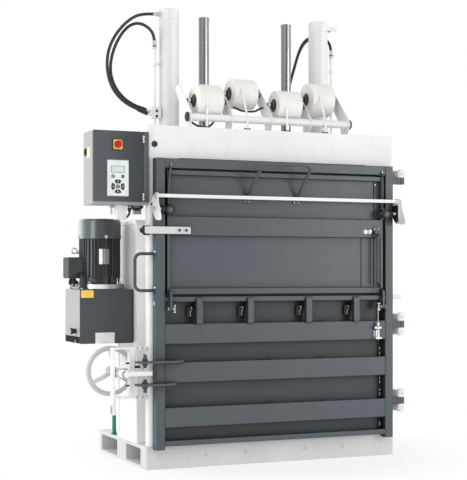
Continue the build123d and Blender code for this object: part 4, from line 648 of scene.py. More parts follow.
HOSE_R = 0.009
PORT_Z = 2.638
MANIFOLD_X = -0.6173


def manifold(dy, z, reach):
    """A place on the way out of the left-hand manifold, at this reach from its face."""
    return (MANIFOLD_X - reach, dy, z + 0.34 * reach)


def from_press(*points):
    """Places whose Y is counted from the cylinders' line."""
    return [(x, PRESS_Y + dy, z) for x, dy, z in points]


HOSE_OUTER = from_press(
    manifold(-0.014, 2.036, 0.036),
    manifold(-0.014, 2.036, 0.098),
    (-0.800, -0.014, 2.111),
    (-0.866, -0.014, 2.188),
    (-0.893, -0.014, 2.292),
    (-0.885, -0.014, 2.402),
    (-0.838, -0.014, 2.500),
    (-0.766, -0.014, 2.582),
    (-0.674, 0, PORT_Z),
    (-0.573, 0, PORT_Z),
)
HOSE_INNER = from_press(
    manifold(0.014, 2.058, 0.036),
    manifold(0.014, 2.058, 0.088),
    (-0.775, 0.014, 2.124),
    (-0.838, 0.014, 2.195),
    (-0.866, 0.014, 2.292),
    (-0.848, 0.014, 2.400),
    (-0.803, 0.014, 2.496),
    (-0.748, 0.012, 2.561),
    (-0.689, 0.008, 2.581),
    (-0.630, 0.004, 2.560),
    (-0.591, 0, 2.510),
    (-0.591, 0, 2.450),
)
HOSE_LOW = from_press(
    (0.591, 0, 2.473),
    (0.591, 0, 2.526),
    (0.579, 0.032, 2.574),
    (0.540, 0.080, 2.598),
    (0.487, 0.101, 2.594),
    (0.442, 0.104, 2.554),
    (0.411, 0.104, 2.484),
    (0.384, 0.104, 2.394),
    (0.355, 0.104, 2.300),
    (0.329, 0.103, 2.204),
    (0.313, 0.101, 2.106),
    (0.305, 0.100, 2.022),
    (0.305, 0.100, 1.952),
)
HOSE_HIGH = from_press(
    (0.600, 0.040, PORT_Z),
    (0.600, 0.090, PORT_Z),
    (0.580, 0.130, 2.620),
    (0.544, 0.152, 2.602),
    (0.502, 0.154, 2.588),
    (0.462, 0.154, 2.546),
    (0.431, 0.154, 2.478),
    (0.404, 0.154, 2.390),
    (0.375, 0.154, 2.297),
    (0.349, 0.153, 2.202),
    (0.333, 0.151, 2.105),
    (0.325, 0.150, 2.022),
    (0.325, 0.150, 1.952),
)


def hose(name, points, node):
    curve = bpy.data.curves.new(name, "CURVE")
    curve.dimensions = "3D"
    spline = curve.splines.new("NURBS")
    spline.points.add(len(points) - 1)
    for place, point in zip(spline.points, points):
        place.co = (*point, 1.0)
    spline.order_u = 3
    spline.use_endpoint_u = True
    curve.bevel_depth = HOSE_R
    curve.bevel_resolution = 5
    curve.resolution_u = 12
    curve.use_fill_caps = True
    obj = bpy.data.objects.new(name, curve)
    finish_piece(obj, "rubber", "frame")
    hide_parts(node)


hose("hose_left_outer", HOSE_OUTER, "hoses_left")
hose("hose_left_inner", HOSE_INNER, "hoses_left")
hose("hose_right_low", HOSE_LOW, "hoses_right")
hose("hose_right_high", HOSE_HIGH, "hoses_right")

# Header and cabinet

PANEL_Y = -0.454
KEYPAD_Y = -0.458
CONTROLS_X = -0.967
SWITCH_Z = 1.808
SWITCH_SCREW_R = 0.0325
DISPLAY_Z = 1.671
RING_Z = 1.576
KEYS_Z = 1.632
KEY_MID = 0.028
KEY_FACE = KEYPAD_Y - 0.0016
PRINT_T = 0.00025
CABINET_LEFT = -1.106
GLAND_X = -0.926
HINGE_PIN = (-0.819, -0.460)
CABINET_HINGES = (1.522, 1.841)


@piece("black")
def header_plug(bm):
    where = aimed((-0.745, FRONT, 1.821), AHEAD)
    ring(bm, 0.009, 0.0175, 0, 0.004, where, 40, 0.001)
    spin(bm, [(0.009, 0.003), (0.0085, 0.0018), (0, 0.0018)], where)


@piece("zinc")
def cabinet_hinge_sleeves(bm):
    for z in CABINET_HINGES:
        for end in SIDES:
            where = aimed((*HINGE_PIN, z + end * 0.0139 - 0.0063), UP)
            ring(bm, 0.0046, 0.0056, 0, 0.0126, where, 28)
            spin(bm, [(0, 0.0126), (0.0048, 0.0126), (0.004, 0.0134), (0, 0.0136)], where, 28)
            cap_screw(bm, (-0.811, PANEL_Y - 0.005, z + end * 0.0135), AHEAD, 0.0028, 0.0014)


@piece("zinc", "panel_door")
def cabinet_knuckle_sleeves(bm):
    for z in CABINET_HINGES:
        ring(bm, 0.0046, 0.0056, 0, 0.0136, aimed((*HINGE_PIN, z - 0.0068), UP), 28)


@piece("black")
def cabinet_side_plug(bm):
    where = aimed((CABINET_LEFT, -0.312, 1.772), LEFT)
    plate(bm, round_rect(0.034, 0.040, 0.003), where, 0.006, 0.0012)
    ring(bm, 0.004, 0.0085, 0.006, 0.010, where, 28, 0.0008)
    spin(bm, [(0.004, 0.009), (0.004, 0.0075), (0, 0.0075)], where, 20)


@piece("pale_yellow")
def cabinet_side_tag(bm):
    plate(bm, round_rect(0.046, 0.058, 0.004), aimed((CABINET_LEFT, -0.362, 1.766), LEFT), 0.0012, 0.0003)


@piece("grey", "panel_door")
def keypad_frame(bm):
    outer, inner = round_rect(0.127, 0.201, 0.006), round_rect(0.121, 0.195, 0.004)
    layers = ((outer, -0.0038), (outer, 0.0005), (inner, 0.0005), (inner, 0))
    layered(bm, layers, facing((CONTROLS_X, KEYPAD_Y, 1.6225)))


@piece("screen", "panel_door")
def display_glass(bm):
    where = facing((CONTROLS_X, KEYPAD_Y + 0.0012, DISPLAY_Z))
    plate(bm, round_rect(0.0735, 0.0335, 0.0006), where, 0.0008, 0.0002)


@piece("key", "panel_door")
def display_bezel(bm):
    where = facing((CONTROLS_X, KEYPAD_Y, DISPLAY_Z))
    for side in SIDES:
        for w, h, x, y in ((0.078, 0.0018, 0, 0.0179 * side), (0.0018, 0.034, 0.0381 * side, 0)):
            plate(bm, round_rect(w, h, 0.0006, 2), where @ level(x, y), 0.0005, 0.0001)


def ring_mark(x, z, inner, outer):
    return lambda bm: ring(bm, inner, outer, 0, PRINT_T, aimed((x, KEY_FACE, z), AHEAD), 28, 0.00005)


def flat_mark(x, z, turn, outline):
    where = facing((x, KEY_FACE, z)) @ Matrix.Rotation(math.radians(turn), 4, "Z")
    return lambda bm: plate(bm, outline, where, PRINT_T, 0.00005)


ARROW = [(-0.0042, -0.00315), (0.0042, -0.00315), (0, 0.00378)]
TICK = [
    (-0.0042, 0.0004),
    (-0.0012, -0.0032),
    (0.0046, 0.0030),
    (0.0036, 0.0040),
    (-0.0012, -0.0006),
    (-0.0032, 0.0014),
]
MARKS = {
    "left": ring_mark(CONTROLS_X - KEY_MID, KEYS_Z, 0.0028, 0.0048),
    "right": flat_mark(CONTROLS_X + KEY_MID, KEYS_Z, 0, TICK),
    "enter": ring_mark(CONTROLS_X, RING_Z, 0.0044, 0.0062),
    "next": flat_mark(CONTROLS_X + KEY_MID, RING_Z, -90, ARROW),
    "up": flat_mark(CONTROLS_X, RING_Z + KEY_MID, 0, ARROW),
    "back": flat_mark(CONTROLS_X - KEY_MID, RING_Z, 90, ARROW),
    "down": flat_mark(CONTROLS_X, RING_Z - KEY_MID, 180, ARROW),
}
for key, mark in MARKS.items():
    make_piece(f"mark_{key}", mark, "print", f"key_{key}_body")


@piece("black", "panel_door")
def switch_rim(bm):
    outer, inner = round_rect(0.062, 0.062, 0.006), round_rect(0.0542, 0.0542, 0.0048)
    layers = ((outer, 0), (outer, 0.0032), (inner, 0.0042), (inner, 0.0028))
    layered(bm, layers, facing((CONTROLS_X, PANEL_Y, SWITCH_Z)))


@piece("red", "panel_door")
def switch_skirt(bm):
    ring(bm, 0.0200, 0.0212, 0, 0.0025, aimed((CONTROLS_X, PANEL_Y - 0.003, SWITCH_Z), AHEAD), 40)
    reach = SWITCH_SCREW_R / math.sqrt(2)
    for dx, dz in corners(reach, reach):
        cap_screw(bm, (CONTROLS_X + dx, PANEL_Y - 0.003, SWITCH_Z + dz), AHEAD, 0.0022, 0.001)


@piece("black")
def cabinet_glands(bm):
    rise = [(0.0125, -0.001), (0.0125, 0.008), (0.011, 0.010), (0.0098, 0.016), (0.006, 0.019)]
    for i in (1, 2):
        where = aimed((CABINET_LEFT + 0.130 + 0.052 * i, FRONT + 0.058, 1.462), DOWN)
        spin(bm, [(0, -0.001), *rise, (0, 0.019)], where, 6)
        ring(bm, 0.0112, 0.0128, -0.016, -0.013, where, 28, 0.0003)


@piece("white")
def gland_cover(bm):
    """A folded white cover under the cabinet, where the cables come in."""
    plate(bm, round_rect(0.062, 0.050, 0.004), level(GLAND_X, -0.372, 1.398), 0.080, 0.0015)
    for x in (-0.020, 0.020):
        cap_screw(bm, (GLAND_X + x, -0.397, 1.412), AHEAD, 0.0035, 0.002)


CABINET_CABLE_1 = (
    (-0.872, -0.376, 1.446),
    (-0.873, -0.375, 1.430),
    (-0.884, -0.362, 1.413),
    (-0.902, -0.345, 1.409),
    (-0.925, -0.330, 1.418),
    (-0.940, -0.325, 1.440),
)
CABINET_CABLE_2 = (
    (-0.852, -0.352, 1.480),
    (-0.850, -0.352, 1.470),
    (-0.838, -0.352, 1.460),
    (-0.819, -0.352, 1.458),
    (-0.802, -0.352, 1.462),
    (-0.786, -0.352, 1.476),
)
short_cable("cabinet_cable_1", CABINET_CABLE_1, 0.0065)
short_cable("cabinet_cable_2", CABINET_CABLE_2, 0.0080)

# Power unit

COWL_BASE = 1.296
FLANGE_Z = (1.008, 1.036)
TANK_FRONT_Y = -0.223
TANK_TOP = 1.008
TANK_LOW, TANK_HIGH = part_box("oil_tank")
TANK_PLATE = (-0.966, 0.731)
FILLER = (-1.074, 0.041, 1.032)
CONDUIT = (-1.086, -0.175)
MOTOR_AXIS = level(*MOTOR)


def outward(degrees):
    turn = math.radians(degrees)
    return Vector((math.cos(turn), math.sin(turn), 0))


def around_motor(radius, degrees, z):
    return Vector((*MOTOR, z)) + radius * outward(degrees)


@piece("cowl", smooth=40)
def cowl_band(bm):
    ring(bm, COWL_R - 0.001, COWL_R + 0.0016, COWL_BASE, COWL_BASE + 0.020, MOTOR_AXIS, 96, 0.0008)
    ring(bm, COWL_R - 0.001, COWL_R + 0.0008, COWL_BASE + 0.0215, COWL_BASE + 0.026, MOTOR_AXIS, 96)


@piece("zinc")
def motor_screws(bm):
    for turn in (-90, 0, 90, 180):
        bolt(bm, around_motor(COWL_R + 0.0012, turn, 1.307), outward(turn), 0.010)
    for turn in (-135, -45, 45, 135):
        cap_screw(bm, around_motor(MOTOR_R + 0.009, turn, 1.068), outward(turn), 0.0045, 0.004)
        nut(bm, around_motor(FLANGE_R - 0.013, turn, FLANGE_Z[1]), UP, 0.018, 0.012, 0.006)


@piece("fins")
def motor_brackets(bm):
    """Cast ears that hold the end shield to the finned barrel."""
    for turn in (-112, -68, -22, 22, 68, 112, 158, 202):
        out = outward(turn)
        side = Vector((-out.y, out.x, 0))
        turn_in = Matrix((side, Vector(UP), out)).transposed().to_4x4()
        where = Matrix.Translation(around_motor(MOTOR_R - 0.002, turn, 1.062)) @ turn_in
        plate(bm, round_rect(0.020, 0.036, 0.006), where, 0.012, 0.002)


@piece("flange", smooth=40)
def motor_flange_ring(bm):
    low, high = FLANGE_Z[0] + 0.0002, FLANGE_Z[1] + 0.0005
    rim = [(FLANGE_R - 0.0015, 0.0), (FLANGE_R + 0.0008, 0.0022)]
    rise = [(r, high - drop) for r, drop in rim] + [(r, low + drop) for r, drop in rim[::-1]]
    spin(bm, [(MOTOR_R - 0.004, high), *rise, (MOTOR_R - 0.004, low)], MOTOR_AXIS, 96)


@piece("motor_plate")
def motor_plate(bm):
    """A blank plate, curved to the fins at the front, with painted reflections over it, brightest on its
    left third.
    """
    radius, thick, steps = FIN_R + 0.0015, 0.0012, 10
    turns = [-109 + 28 * i / steps for i in range(steps + 1)]
    for r in (radius, radius + thick):
        low, high = ([bm.verts.new(around_motor(r, turn, z)) for turn in turns] for z in (1.150, 1.237))
        for i in range(steps):
            bm.faces.new((low[i], low[i + 1], high[i + 1], high[i]))
    bmesh.ops.bridge_loops(bm, edges=[e for e in bm.edges if e.is_boundary])
    for turn in (-106, -84):
        for z in (1.156, 1.231):
            dome(bm, around_motor(radius + thick, turn, z), outward(turn), 0.003, 0.0014)


@piece("zinc")
def lifting_eye(bm):
    torus(bm, Vector((-1.1055, MOTOR[1], 1.227)), 0.015, 0.0042, 0.0042, 32, 10)
    shank = [
        (0, -0.010), (0.006, -0.010), (0.008, -0.004), (0.010, 0.001),
        (0.010, 0.004), (0.006, 0.006), (0.006, 0.020), (0, 0.020),
    ]
    spin(bm, shank, aimed((-1.084, MOTOR[1], 1.219), (0.9, 0, -0.25)), 20)


@piece("black")
def terminal_glands(bm):
    rise = [(0.0150, -0.004), (0.0150, 0.009), (0.0130, 0.013), (0.0110, 0.022), (0.0070, 0.027)]
    for dy in (-0.028, 0.028):
        where = aimed((-1.112, MOTOR[1] + dy, 1.058), (-0.45, -0.25, -0.86))
        spin(bm, [(0, -0.004), *rise, (0, 0.027)], where, 6)


MOTOR_CABLE = (
    (-1.122, -0.1145, 1.038),
    (-1.127, -0.1175, 1.028),
    (-1.128, -0.126, 1.0190),
    (-1.120, -0.140, 1.0155),
    (-1.110, -0.154, 1.0150),
    (-1.100, -0.166, 1.0150),
)
short_cable("motor_cable", MOTOR_CABLE, 0.0062, "grey")


@piece("conduit")
def grey_conduit(bm):
    """The ribbed grey sleeve and the nut on the conduit between the tank and the terminal box."""
    rise = []
    for i in range(17):
        low = 1.0185 + 0.003 * i
        rise += [(0.0124, low), (0.0134, low + 0.0008), (0.0134, low + 0.0020)]
    spin(bm, [*rise, (0.0124, 1.0710), (0.0118, 1.0712)], level(*CONDUIT), 28)
    nut(bm, (*CONDUIT, 1.0085), UP, 0.034, 0.010)


@piece("yellow")
def tank_plate_yellow(bm):
    plate(bm, round_rect(0.073, 0.042, 0.003), facing((-1.0705, TANK_FRONT_Y, 0.981)), 0.0008, 0.0002)


@piece("print")
def tank_plate_pale(bm):
    x, z = TANK_PLATE
    plate(bm, round_rect(0.114, 0.062, 0.002), facing((x, TANK_FRONT_Y, z)), 0.0010, 0.0002)
    for dx, dz in corners(0.052, 0.026):
        dome(bm, (x + dx, TANK_FRONT_Y - 0.001, z + dz), AHEAD, 0.0026, 0.0012)


@piece("zinc")
def tank_trim(bm):
    """The drain's hexagon and the lid's bolts."""
    nut(bm, (-1.140, -0.133, 0.770), LEFT, 0.024, 0.009)
    for x, y in ((-1.098, -0.206), (-0.815, -0.206), (-0.815, 0.064)):
        bolt(bm, (x, y, TANK_TOP), UP, 0.012)


@piece("dull_black")
def tank_band(bm):
    """The dark strip along the foot of the tank's left side."""
    mid = (TANK_FRONT_Y + 0.008 + TANK_HIGH[1]) / 2
    where = sideways((TANK_LOW[0] + 0.0028, mid, TANK_LOW[2] + 0.021), -1)
    plate(bm, round_rect(TANK_HIGH[1] - TANK_FRONT_Y - 0.020, 0.036, 0.002), where, 0.002, 0.0005)


@piece("zinc")
def tank_band_screw(bm):
    cap_screw(bm, (TANK_LOW[0] + 0.001, -0.130, TANK_LOW[2] + 0.012), LEFT, 0.0075, 0.003)


@piece("black")
def filler_ribs(bm):
    rib = [(0, 0.001), (0.0022, 0.001), (0.0022, 0.020), (0.0014, 0.0215), (0, 0.0215)]
    for dx, dy in circle(24, 0.0262):
        spin(bm, rib, level(FILLER[0] + dx, FILLER[1] + dy, FILLER[2]), 6)
    ring(bm, 0.018, 0.024, 0.0215, 0.0228, level(*FILLER), 48, 0.0005)


# Left-hand side


@piece("slate_dark")
def post_fittings(bm):
    for z in (1.261, 0.955, 0.738):
        dome(bm, (-BODY_HALF, -0.334, z), LEFT, 0.008, 0.004)
    where = aimed((-BODY_HALF, -0.317, 1.058), LEFT)
    spin(bm, [(0, 0), (0.014, 0), (0.014, 0.010), (0.011, 0.016), (0, 0.016)], where, 24)


@piece("white")
def cover_rivets(bm):
    places = [(dy, 0.150 + 0.154 * i) for dy in (0.169, 0.495) for i in range(9)]
    places += [(0.169 + 0.0815 * i, z) for i in range(1, 4) for z in (0.143, 1.392)]
    for side in SIDES:
        for dy, z in places:
            dome(bm, (side * BASE_HALF, FRONT + dy, z), (side, 0, 0), 0.0045, 0.0022)


# Door

DOOR_INNER = 0.703
HOOKS_X = (-0.501, -0.186, 0.186, 0.501)
RAIL_WELDS = (
    (0.938, 0.968), (0.703, 0.816), (0.488, 0.601), (0.238, 0.349), (0.134, 0.165), (1.685, 1.740),
)
ROD_HIGHLIGHTS = (
    (0.605, 0.625), (0.640, 0.656), (0.437, 0.452), (0.462, 0.474),
    (0.364, 0.380), (0.391, 0.402), (0.180, 0.206),
)


@piece("slate", "door")
def door_welds(bm):
    for side in SIDES:
        x = side * DOOR_INNER
        for low, high in RAIL_WELDS:
            bead(bm, (x, DOOR_FACE + 0.0005, low + 0.004), (x, DOOR_FACE + 0.0005, high - 0.004))
        for hook in HOOKS_X:
            x = hook + side * 0.0182
            for z in (0.8165, 0.9375):
                bead(bm, (x, DOOR_FACE + 0.004, z), (x, DOOR_FACE + 0.024, z), 0.002)


@piece("zinc", "door")
def side_handle_collars(bm):
    for z in (1.002, 1.207):
        ring(bm, 0.0088, 0.0155, -0.0005, 0.0045, aimed((-0.7575, -0.4655, z), LEFT), 32, 0.001)
        dome(bm, (-0.7565, -0.4795, z + 0.0002), AHEAD, 0.0048, 0.0022)


@piece("slate_dark", "door")
def door_bolts(bm):
    for z in (1.656, 0.791, 0.331):
        for dz in (-0.012, 0.012):
            bolt(bm, (0.790, -0.4835, z + dz), AHEAD, 0.0085, washer=False)


@piece("zinc", "door")
def door_bright_bolts(bm):
    bolt(bm, (-0.757, -0.4655, 0.930), LEFT, 0.015)
    for z in (1.019, 1.219):
        dome(bm, (-0.7665, -0.4962, z), AHEAD, 0.0072, 0.0035)


@piece("black", "door")
def strap_slot_shade_plates(bm):
    """Black plates on the rails' tops, where the straps cross, as painted shade for the strap slots there.
    """
    for z in (0.349, 0.601, 0.816):
        for x in (-0.030, 0.318):
            where = level(x, DOOR_FACE + 0.0115, z + 0.0003)
            plate(bm, round_rect(0.058, 0.018, 0.003), where, 0.0050, 0.001)


# Short bright zinc pieces in the gaps between the rails, as painted highlights of a rod behind; the rod
# itself isn't drawn.
@piece("zinc", "door")
def rod_highlight_dashes(bm):
    for low, high in ROD_HIGHLIGHTS:
        tube(bm, [(0.692, -0.4470, low), (0.692, -0.4470, high)], 0.0030)


@piece("black", "door")
def strap_catch_blocks(bm):
    for x in HOOKS_X:
        plate(bm, round_rect(0.034, 0.058, 0.003), facing((x - 0.040, -0.4415, 0.881)), 0.018, 0.0015)


@piece("zinc", "door")
def strap_catch_hooks(bm):
    wire_line = (
        (-0.006, -0.462, 0.903),
        (0.001, -0.472, 0.906),
        (0.006, -0.472, 0.899),
        (0.004, -0.462, 0.885),
        (0, -0.461, 0.869),
    )
    for x in HOOKS_X:
        tube(bm, smooth_line([(x - 0.040 + dx, y, z) for dx, y, z in wire_line]), 0.0026, 10)
        cap_screw(bm, (x - 0.040, -0.4595, 0.861), AHEAD, 0.0038, 0.003)


@piece("zinc", "door")
def pivot_nuts(bm):
    for side in SIDES:
        for end in SIDES:
            nut(bm, (side * 0.677 + end * 0.0126, -0.510, 0.900), (end, 0, 0), 0.019, 0.0055)


@piece("zinc", "door")
def pivot_studs(bm):
    for x in (-0.652, 0.652):
        spin(bm, [(0, 0.880), (0.0045, 0.880), (0.0045, 0.920), (0, 0.920)], level(x, -0.506), 16)
        for z in (0.878, 0.916):
            nut(bm, (x, -0.506, z), UP, 0.017, 0.007)


# Loading flap

STAY_X = 0.640
STAY_Y = -0.518
BAND_Y = -0.468
LATCH_Y = -0.516
LATCH_Z = 1.455
COVER_SEAT = (0.690, -0.5335, 1.450)
SIDE_BARS = (
    ((-0.672, 1.708), (-0.680, 1.637), (-0.687, 1.560), (-0.690, 1.488)),
    ((0.676, 1.706), (0.683, 1.636), (0.682, 1.560), (0.680, 1.488)),
)


@piece("zinc", "flap")
def flap_fasteners(bm):
    for x in (-0.196, 0.118):
        for dx, dz in corners(0.014, 0.015):
            cap_screw(bm, (x + dx, BAND_Y - 0.005, 1.524 + dz), AHEAD, 0.0034, 0.0022)
    bolt(bm, (0.645, BAND_Y, 1.628), AHEAD, 0.0075)
    for x in (0.570, 0.602):
        bolt(bm, (x, -0.490, 1.345), AHEAD, 0.013)
    for dx, dz in corners(0.013, 0.018):
        cap_screw(bm, (STAY_X + dx, -0.495, 1.343 + dz), AHEAD, 0.0042, 0.004)


@piece("slate", "flap")
def flap_seams(bm):
    """Stitch welds along the folded band."""
    for x in (-0.36, -0.05, 0.26, 0.52):
        bead(bm, (x, -0.469, 1.4215), (x + 0.032, -0.469, 1.4215), 0.0022)


@piece("slate_dark", "flap")
def flap_shade_strips(bm):
    """Dark strips between the flap's strip and its right-hand flange, as painted shade."""
    for low, high in ((1.020, 1.306), (1.428, 1.644)):
        mid = (low + high) / 2
        plate(bm, round_rect(0.035, high - low, 0.003), facing((0.6545, -0.468, mid)), 0.0016, 0.0005)
        for side in SIDES:
            lip = facing((0.6545 + side * 0.0160, -0.469, mid))
            plate(bm, round_rect(0.003, high - low, 0.001, 2), lip, 0.005, 0.0005)


@piece("slate", "flap")
def flap_side_bars(bm):
    """Slender links down the flap's flanges, from above its rail to the latch's blocks."""
    for line in SIDE_BARS:
        tube(bm, smooth_line([(x, -0.5020, z) for x, z in line], 6), 0.0046, 10)


@piece("zinc", "flap")
def flap_side_bar_pins(bm):
    for (x, z), *_ in SIDE_BARS:
        cap_screw(bm, (x, -0.5060, z - 0.004), AHEAD, 0.0040, 0.0025)


@piece("black", "flap")
def latch_bearings(bm):
    """The dark keepers round the latch bar's stub shafts, on the flap's own blocks."""
    for side in SIDES:
        for x, way in ((0.6985, side), (0.6600, -side)):
            where = aimed((side * x, LATCH_Y, LATCH_Z), (way, 0, 0))
            ring(bm, 0.0084, 0.0165, -0.0008, 0.0036, where, 36, 0.0007)
        for z in (1.4335, 1.4765):
            bolt(bm, (side * 0.680, -0.5075, z), AHEAD, 0.0125)
        x, y, z = COVER_SEAT
        ring(bm, 0.0175, 0.0225, 0, 0.006, aimed((side * x, y, z), AHEAD), 40, 0.001)


@piece("slate", "flap")
def latch_bearing_covers(bm):
    x, y, z = COVER_SEAT
    rise = [(0.0172, 0.0005), (0.0172, 0.004), (0.0140, 0.0055), (0.0060, 0.0060)]
    for side in SIDES:
        spin(bm, [(0, 0.0005), *rise, (0, 0.0060)], aimed((side * x, y, z), AHEAD), 40)


@piece("rubber", "door", smooth=30)
def door_gap_shade_strips(bm):
    """Dark rubber strips in the gaps round the loading flap, as painted shade in those gaps."""
    for x in (-0.6965, 0.6965):
        plate(bm, round_rect(0.0125, 0.690, 0.002), facing((x, -0.4362, 1.328)), 0.010, 0.0015)
    for z, high in ((0.9750, 0.0125), (1.6795, 0.0095)):
        plate(bm, round_rect(1.405, high, 0.002), facing((0, -0.4362, z)), 0.006, 0.0012)


@piece("slate_dark", "flap")
def switch_arm_screws(bm):
    for x in (-0.624, -0.584):
        cap_screw(bm, (x, -0.512, 1.338), AHEAD, 0.0078, 0.004)


# Latch bar

HOOK_PLATE = (
    (-0.516, 1.544), (-0.443, 1.509), (-0.440, 1.492), (-0.4695, 1.492), (-0.4695, 1.451), (-0.500, 1.414),
    (-0.532, 1.392), (-0.598, 1.388), (-0.618, 1.400), (-0.600, 1.440), (-0.574, 1.485), (-0.568, 1.531),
    (-0.546, 1.544),
)
HOOK_SHADE_PLATE = (
    (-0.4700, 1.500), (-0.4700, 1.451), (-0.500, 1.416), (-0.530, 1.396), (-0.548, 1.410), (-0.548, 1.508),
)
SHAFT_SLEEVE = (
    (0.0083, 0), (0.0175, 0), (0.0188, 0.0015), (0.0188, 0.010), (0.0150, 0.012),
    (0.0150, 0.022), (0.0188, 0.024), (0.0188, 0.034), (0.0175, 0.036), (0.0083, 0.036),
)


def side_plate(bm, side, x, outline, thick):
    """Adds a plate across X, from an outline in Y and Z, that thickens away from the middle."""
    points = [(side * y, z) for y, z in outline]
    plate(bm, points[::-side], sideways((side * x, 0, 0), side), thick)


@piece("zinc", "latch")
def latch_bolts(bm):
    for side in SIDES:
        x = side * 0.7708
        nut(bm, (x, LATCH_Y, LATCH_Z), (side, 0, 0), 0.024, 0.009, 0.004)
        bolt(bm, (x, -0.530, 1.524), (side, 0, 0), 0.013)


@piece("white", "latch")
def latch_hook_plates(bm):
    for side in SIDES:
        side_plate(bm, side, 0.7692, HOOK_PLATE, 0.0015)


@piece("black", "latch")
def latch_shade_plates_and_sleeves(bm):
    """Dark plates on the hooks' inner faces, as painted shade, and the sleeves on the stub shafts."""
    for side in SIDES:
        side_plate(bm, side, 0.7592, HOOK_SHADE_PLATE, 0.0016)
        spin(bm, SHAFT_SLEEVE, aimed((side * 0.7000, LATCH_Y, LATCH_Z), (side, 0, 0)), 40)


# Lock

WHEEL = Vector((-0.942, -0.244, 0.545))
LUG_BOLT = (-0.822, -0.495)


@piece("slate_dark", "door")
def lock_bolt_nuts(bm):
    for z, way in ((0.6255, UP), (0.4635, DOWN)):
        nut(bm, (*LUG_BOLT, z), way, 0.0225, 0.005, 0.002)


@piece("steel", "door")
def lock_bolt_tips(bm):
    for dz, way in ((0.0185, UP), (-0.0185, DOWN)):
        ring(bm, 0.0098, 0.0135, 0.0005, 0.012, aimed((*LUG_BOLT, WHEEL.z + dz), way), 32, 0.0005)


@piece("slate", "door")
def lock_lug_welds(bm):
    for z in (0.6005, 0.4885):
        bead(bm, (-0.752, DOOR_FACE + 0.0005, z), (-0.645, DOOR_FACE + 0.0005, z))


@piece("black", "lock")
def spindle_shadow_crescent(bm):
    """A black crescent at the claw's rounded end, as painted shadow."""
    turns = [0.4 * i for i in range(-3, 4)]
    outline = [(-0.0225 * math.cos(a), -0.0225 * math.sin(a)) for a in turns]
    outline += [(-0.0180 * math.cos(a), -0.0180 * math.sin(a)) for a in turns[::-1]]
    plate(bm, outline, facing((WHEEL.x, -0.5302, WHEEL.z)), 0.0012, 0.0002)


@piece("black")
def lock_frame_pins_and_shadow_plate(bm):
    """Dark stop pins through the right-hand post, at the lugs' heights, and a black plate between the lugs,
    as painted shadow.
    """
    pin = [(0, 0), (0.0042, 0), (0.0050, 0.001), (0.0050, 0.019), (0.0042, 0.020), (0, 0.020)]
    for z in (0.600, 0.476):
        spin(bm, pin, aimed((-0.8935, FRONT, z), LEFT), 20)
    plate(bm, round_rect(0.034, 0.014, 0.002), facing((-0.846, FRONT, 0.5785)), 0.006, 0.001)


@piece("slate_dark")
def lock_frame_screws(bm):
    for z in (0.408, 0.682):
        for x in (-0.845, -0.815):
            dome(bm, (x, -0.4325, z), AHEAD, 0.0042, 0.002)
    for dx, dz in corners(0.0315, 0.018):
        cap_screw(bm, (-0.9365 + dx, -0.4015, WHEEL.z + dz), AHEAD, 0.0048, 0.004)


@piece("zinc", "wheel")
def wheel_washer(bm):
    ring(bm, 0.0125, 0.022, 0.0005, 0.0035, aimed(WHEEL, BACK), 36, 0.0006)
    nut(bm, WHEEL + Vector((0, 0.0031, 0)), BACK, 0.019, 0.0105)


@piece("casting", "wheel", smooth=60)
def wheel_grip(bm):
    """The cast rim's thicker grip, which is flattened from front to back."""
    torus(bm, WHEEL, 0.129, 0.0142, 0.0126, 72, 14)


# Top: cylinders, columns, rolls

HOSE_ENDS = [(line[0], line[1]) for line in (HOSE_LOW, HOSE_HIGH)]
HOSE_ENDS += [(line[-1], line[-2]) for line in (HOSE_OUTER, HOSE_INNER, HOSE_LOW, HOSE_HIGH)]
ROLLS = (
    (-0.381, -0.308, 2.095, 0.095),
    (-0.127, -0.229, 2.158, 0.088),
    (0.127, -0.308, 2.093, 0.088),
    (0.381, -0.229, 2.150, 0.100),
)
TUBE_Y, TUBE_Z, TUBE_R = -0.372, 1.992, 0.022
STRAP_W, STRAP_T = 0.013, 0.0011
STRAP_SHIFT = -0.030


@piece("zinc")
def ferrule_ribs(bm):
    rib = [(0.0106, 0), (0.0112, 0.001), (0.0112, 0.006), (0.0106, 0.007)]
    ribs = [(radius, low + dz) for low in (0, 0.010) for radius, dz in rib]
    for x, top in ((-0.591, 2.426), (0.591, 2.449)):
        spin(bm, ribs, level(x, PRESS_Y, top))


def toward(start, end):
    """A frame at a hose's end that points along the hose."""
    return aimed(start, (Vector(end) - Vector(start)).normalized())


@piece("zinc")
def hose_ferrules(bm):
    """Crimped sleeves round the hoses' last lengths."""
    profile = [(0.0092, 0.0), (0.0114, 0.0006), (0.0114, 0.0042)]
    for i in range(3):
        low = 0.0042 + 0.0066 * i
        profile += [(0.0106, low + 0.0008), (0.0106, low + 0.0040), (0.0114, low + 0.0048)]
    profile += [(0.0114, 0.0292), (0.0092, 0.030)]
    for start, along in HOSE_ENDS:
        spin(bm, profile, toward(start, along), 28)


@piece("red")
def hose_bands(bm):
    for start, along in HOSE_ENDS:
        ring(bm, 0.0100, 0.0128, -0.0062, 0.0012, toward(start, along), 28)


@piece("rubber")
def hose_sleeves(bm):
    """Rubber bend sleeves over the left-hand hoses' lower ends."""
    profile = [
        (0.0090, -0.014), (0.0128, -0.013), (0.0130, 0.010),
        (0.0118, 0.038), (0.0098, 0.052), (0.0090, 0.052),
    ]
    for line in (HOSE_OUTER, HOSE_INNER):
        spin(bm, profile, toward(line[0], line[1]), 28)


@piece("black")
def manifold_plugs(bm):
    for z in (2.029, 2.060):
        plate(bm, round_rect(0.0145, 0.0145, 0.002), facing((-0.588, PRESS_Y - 0.030, z)), 0.002, 0.0005)


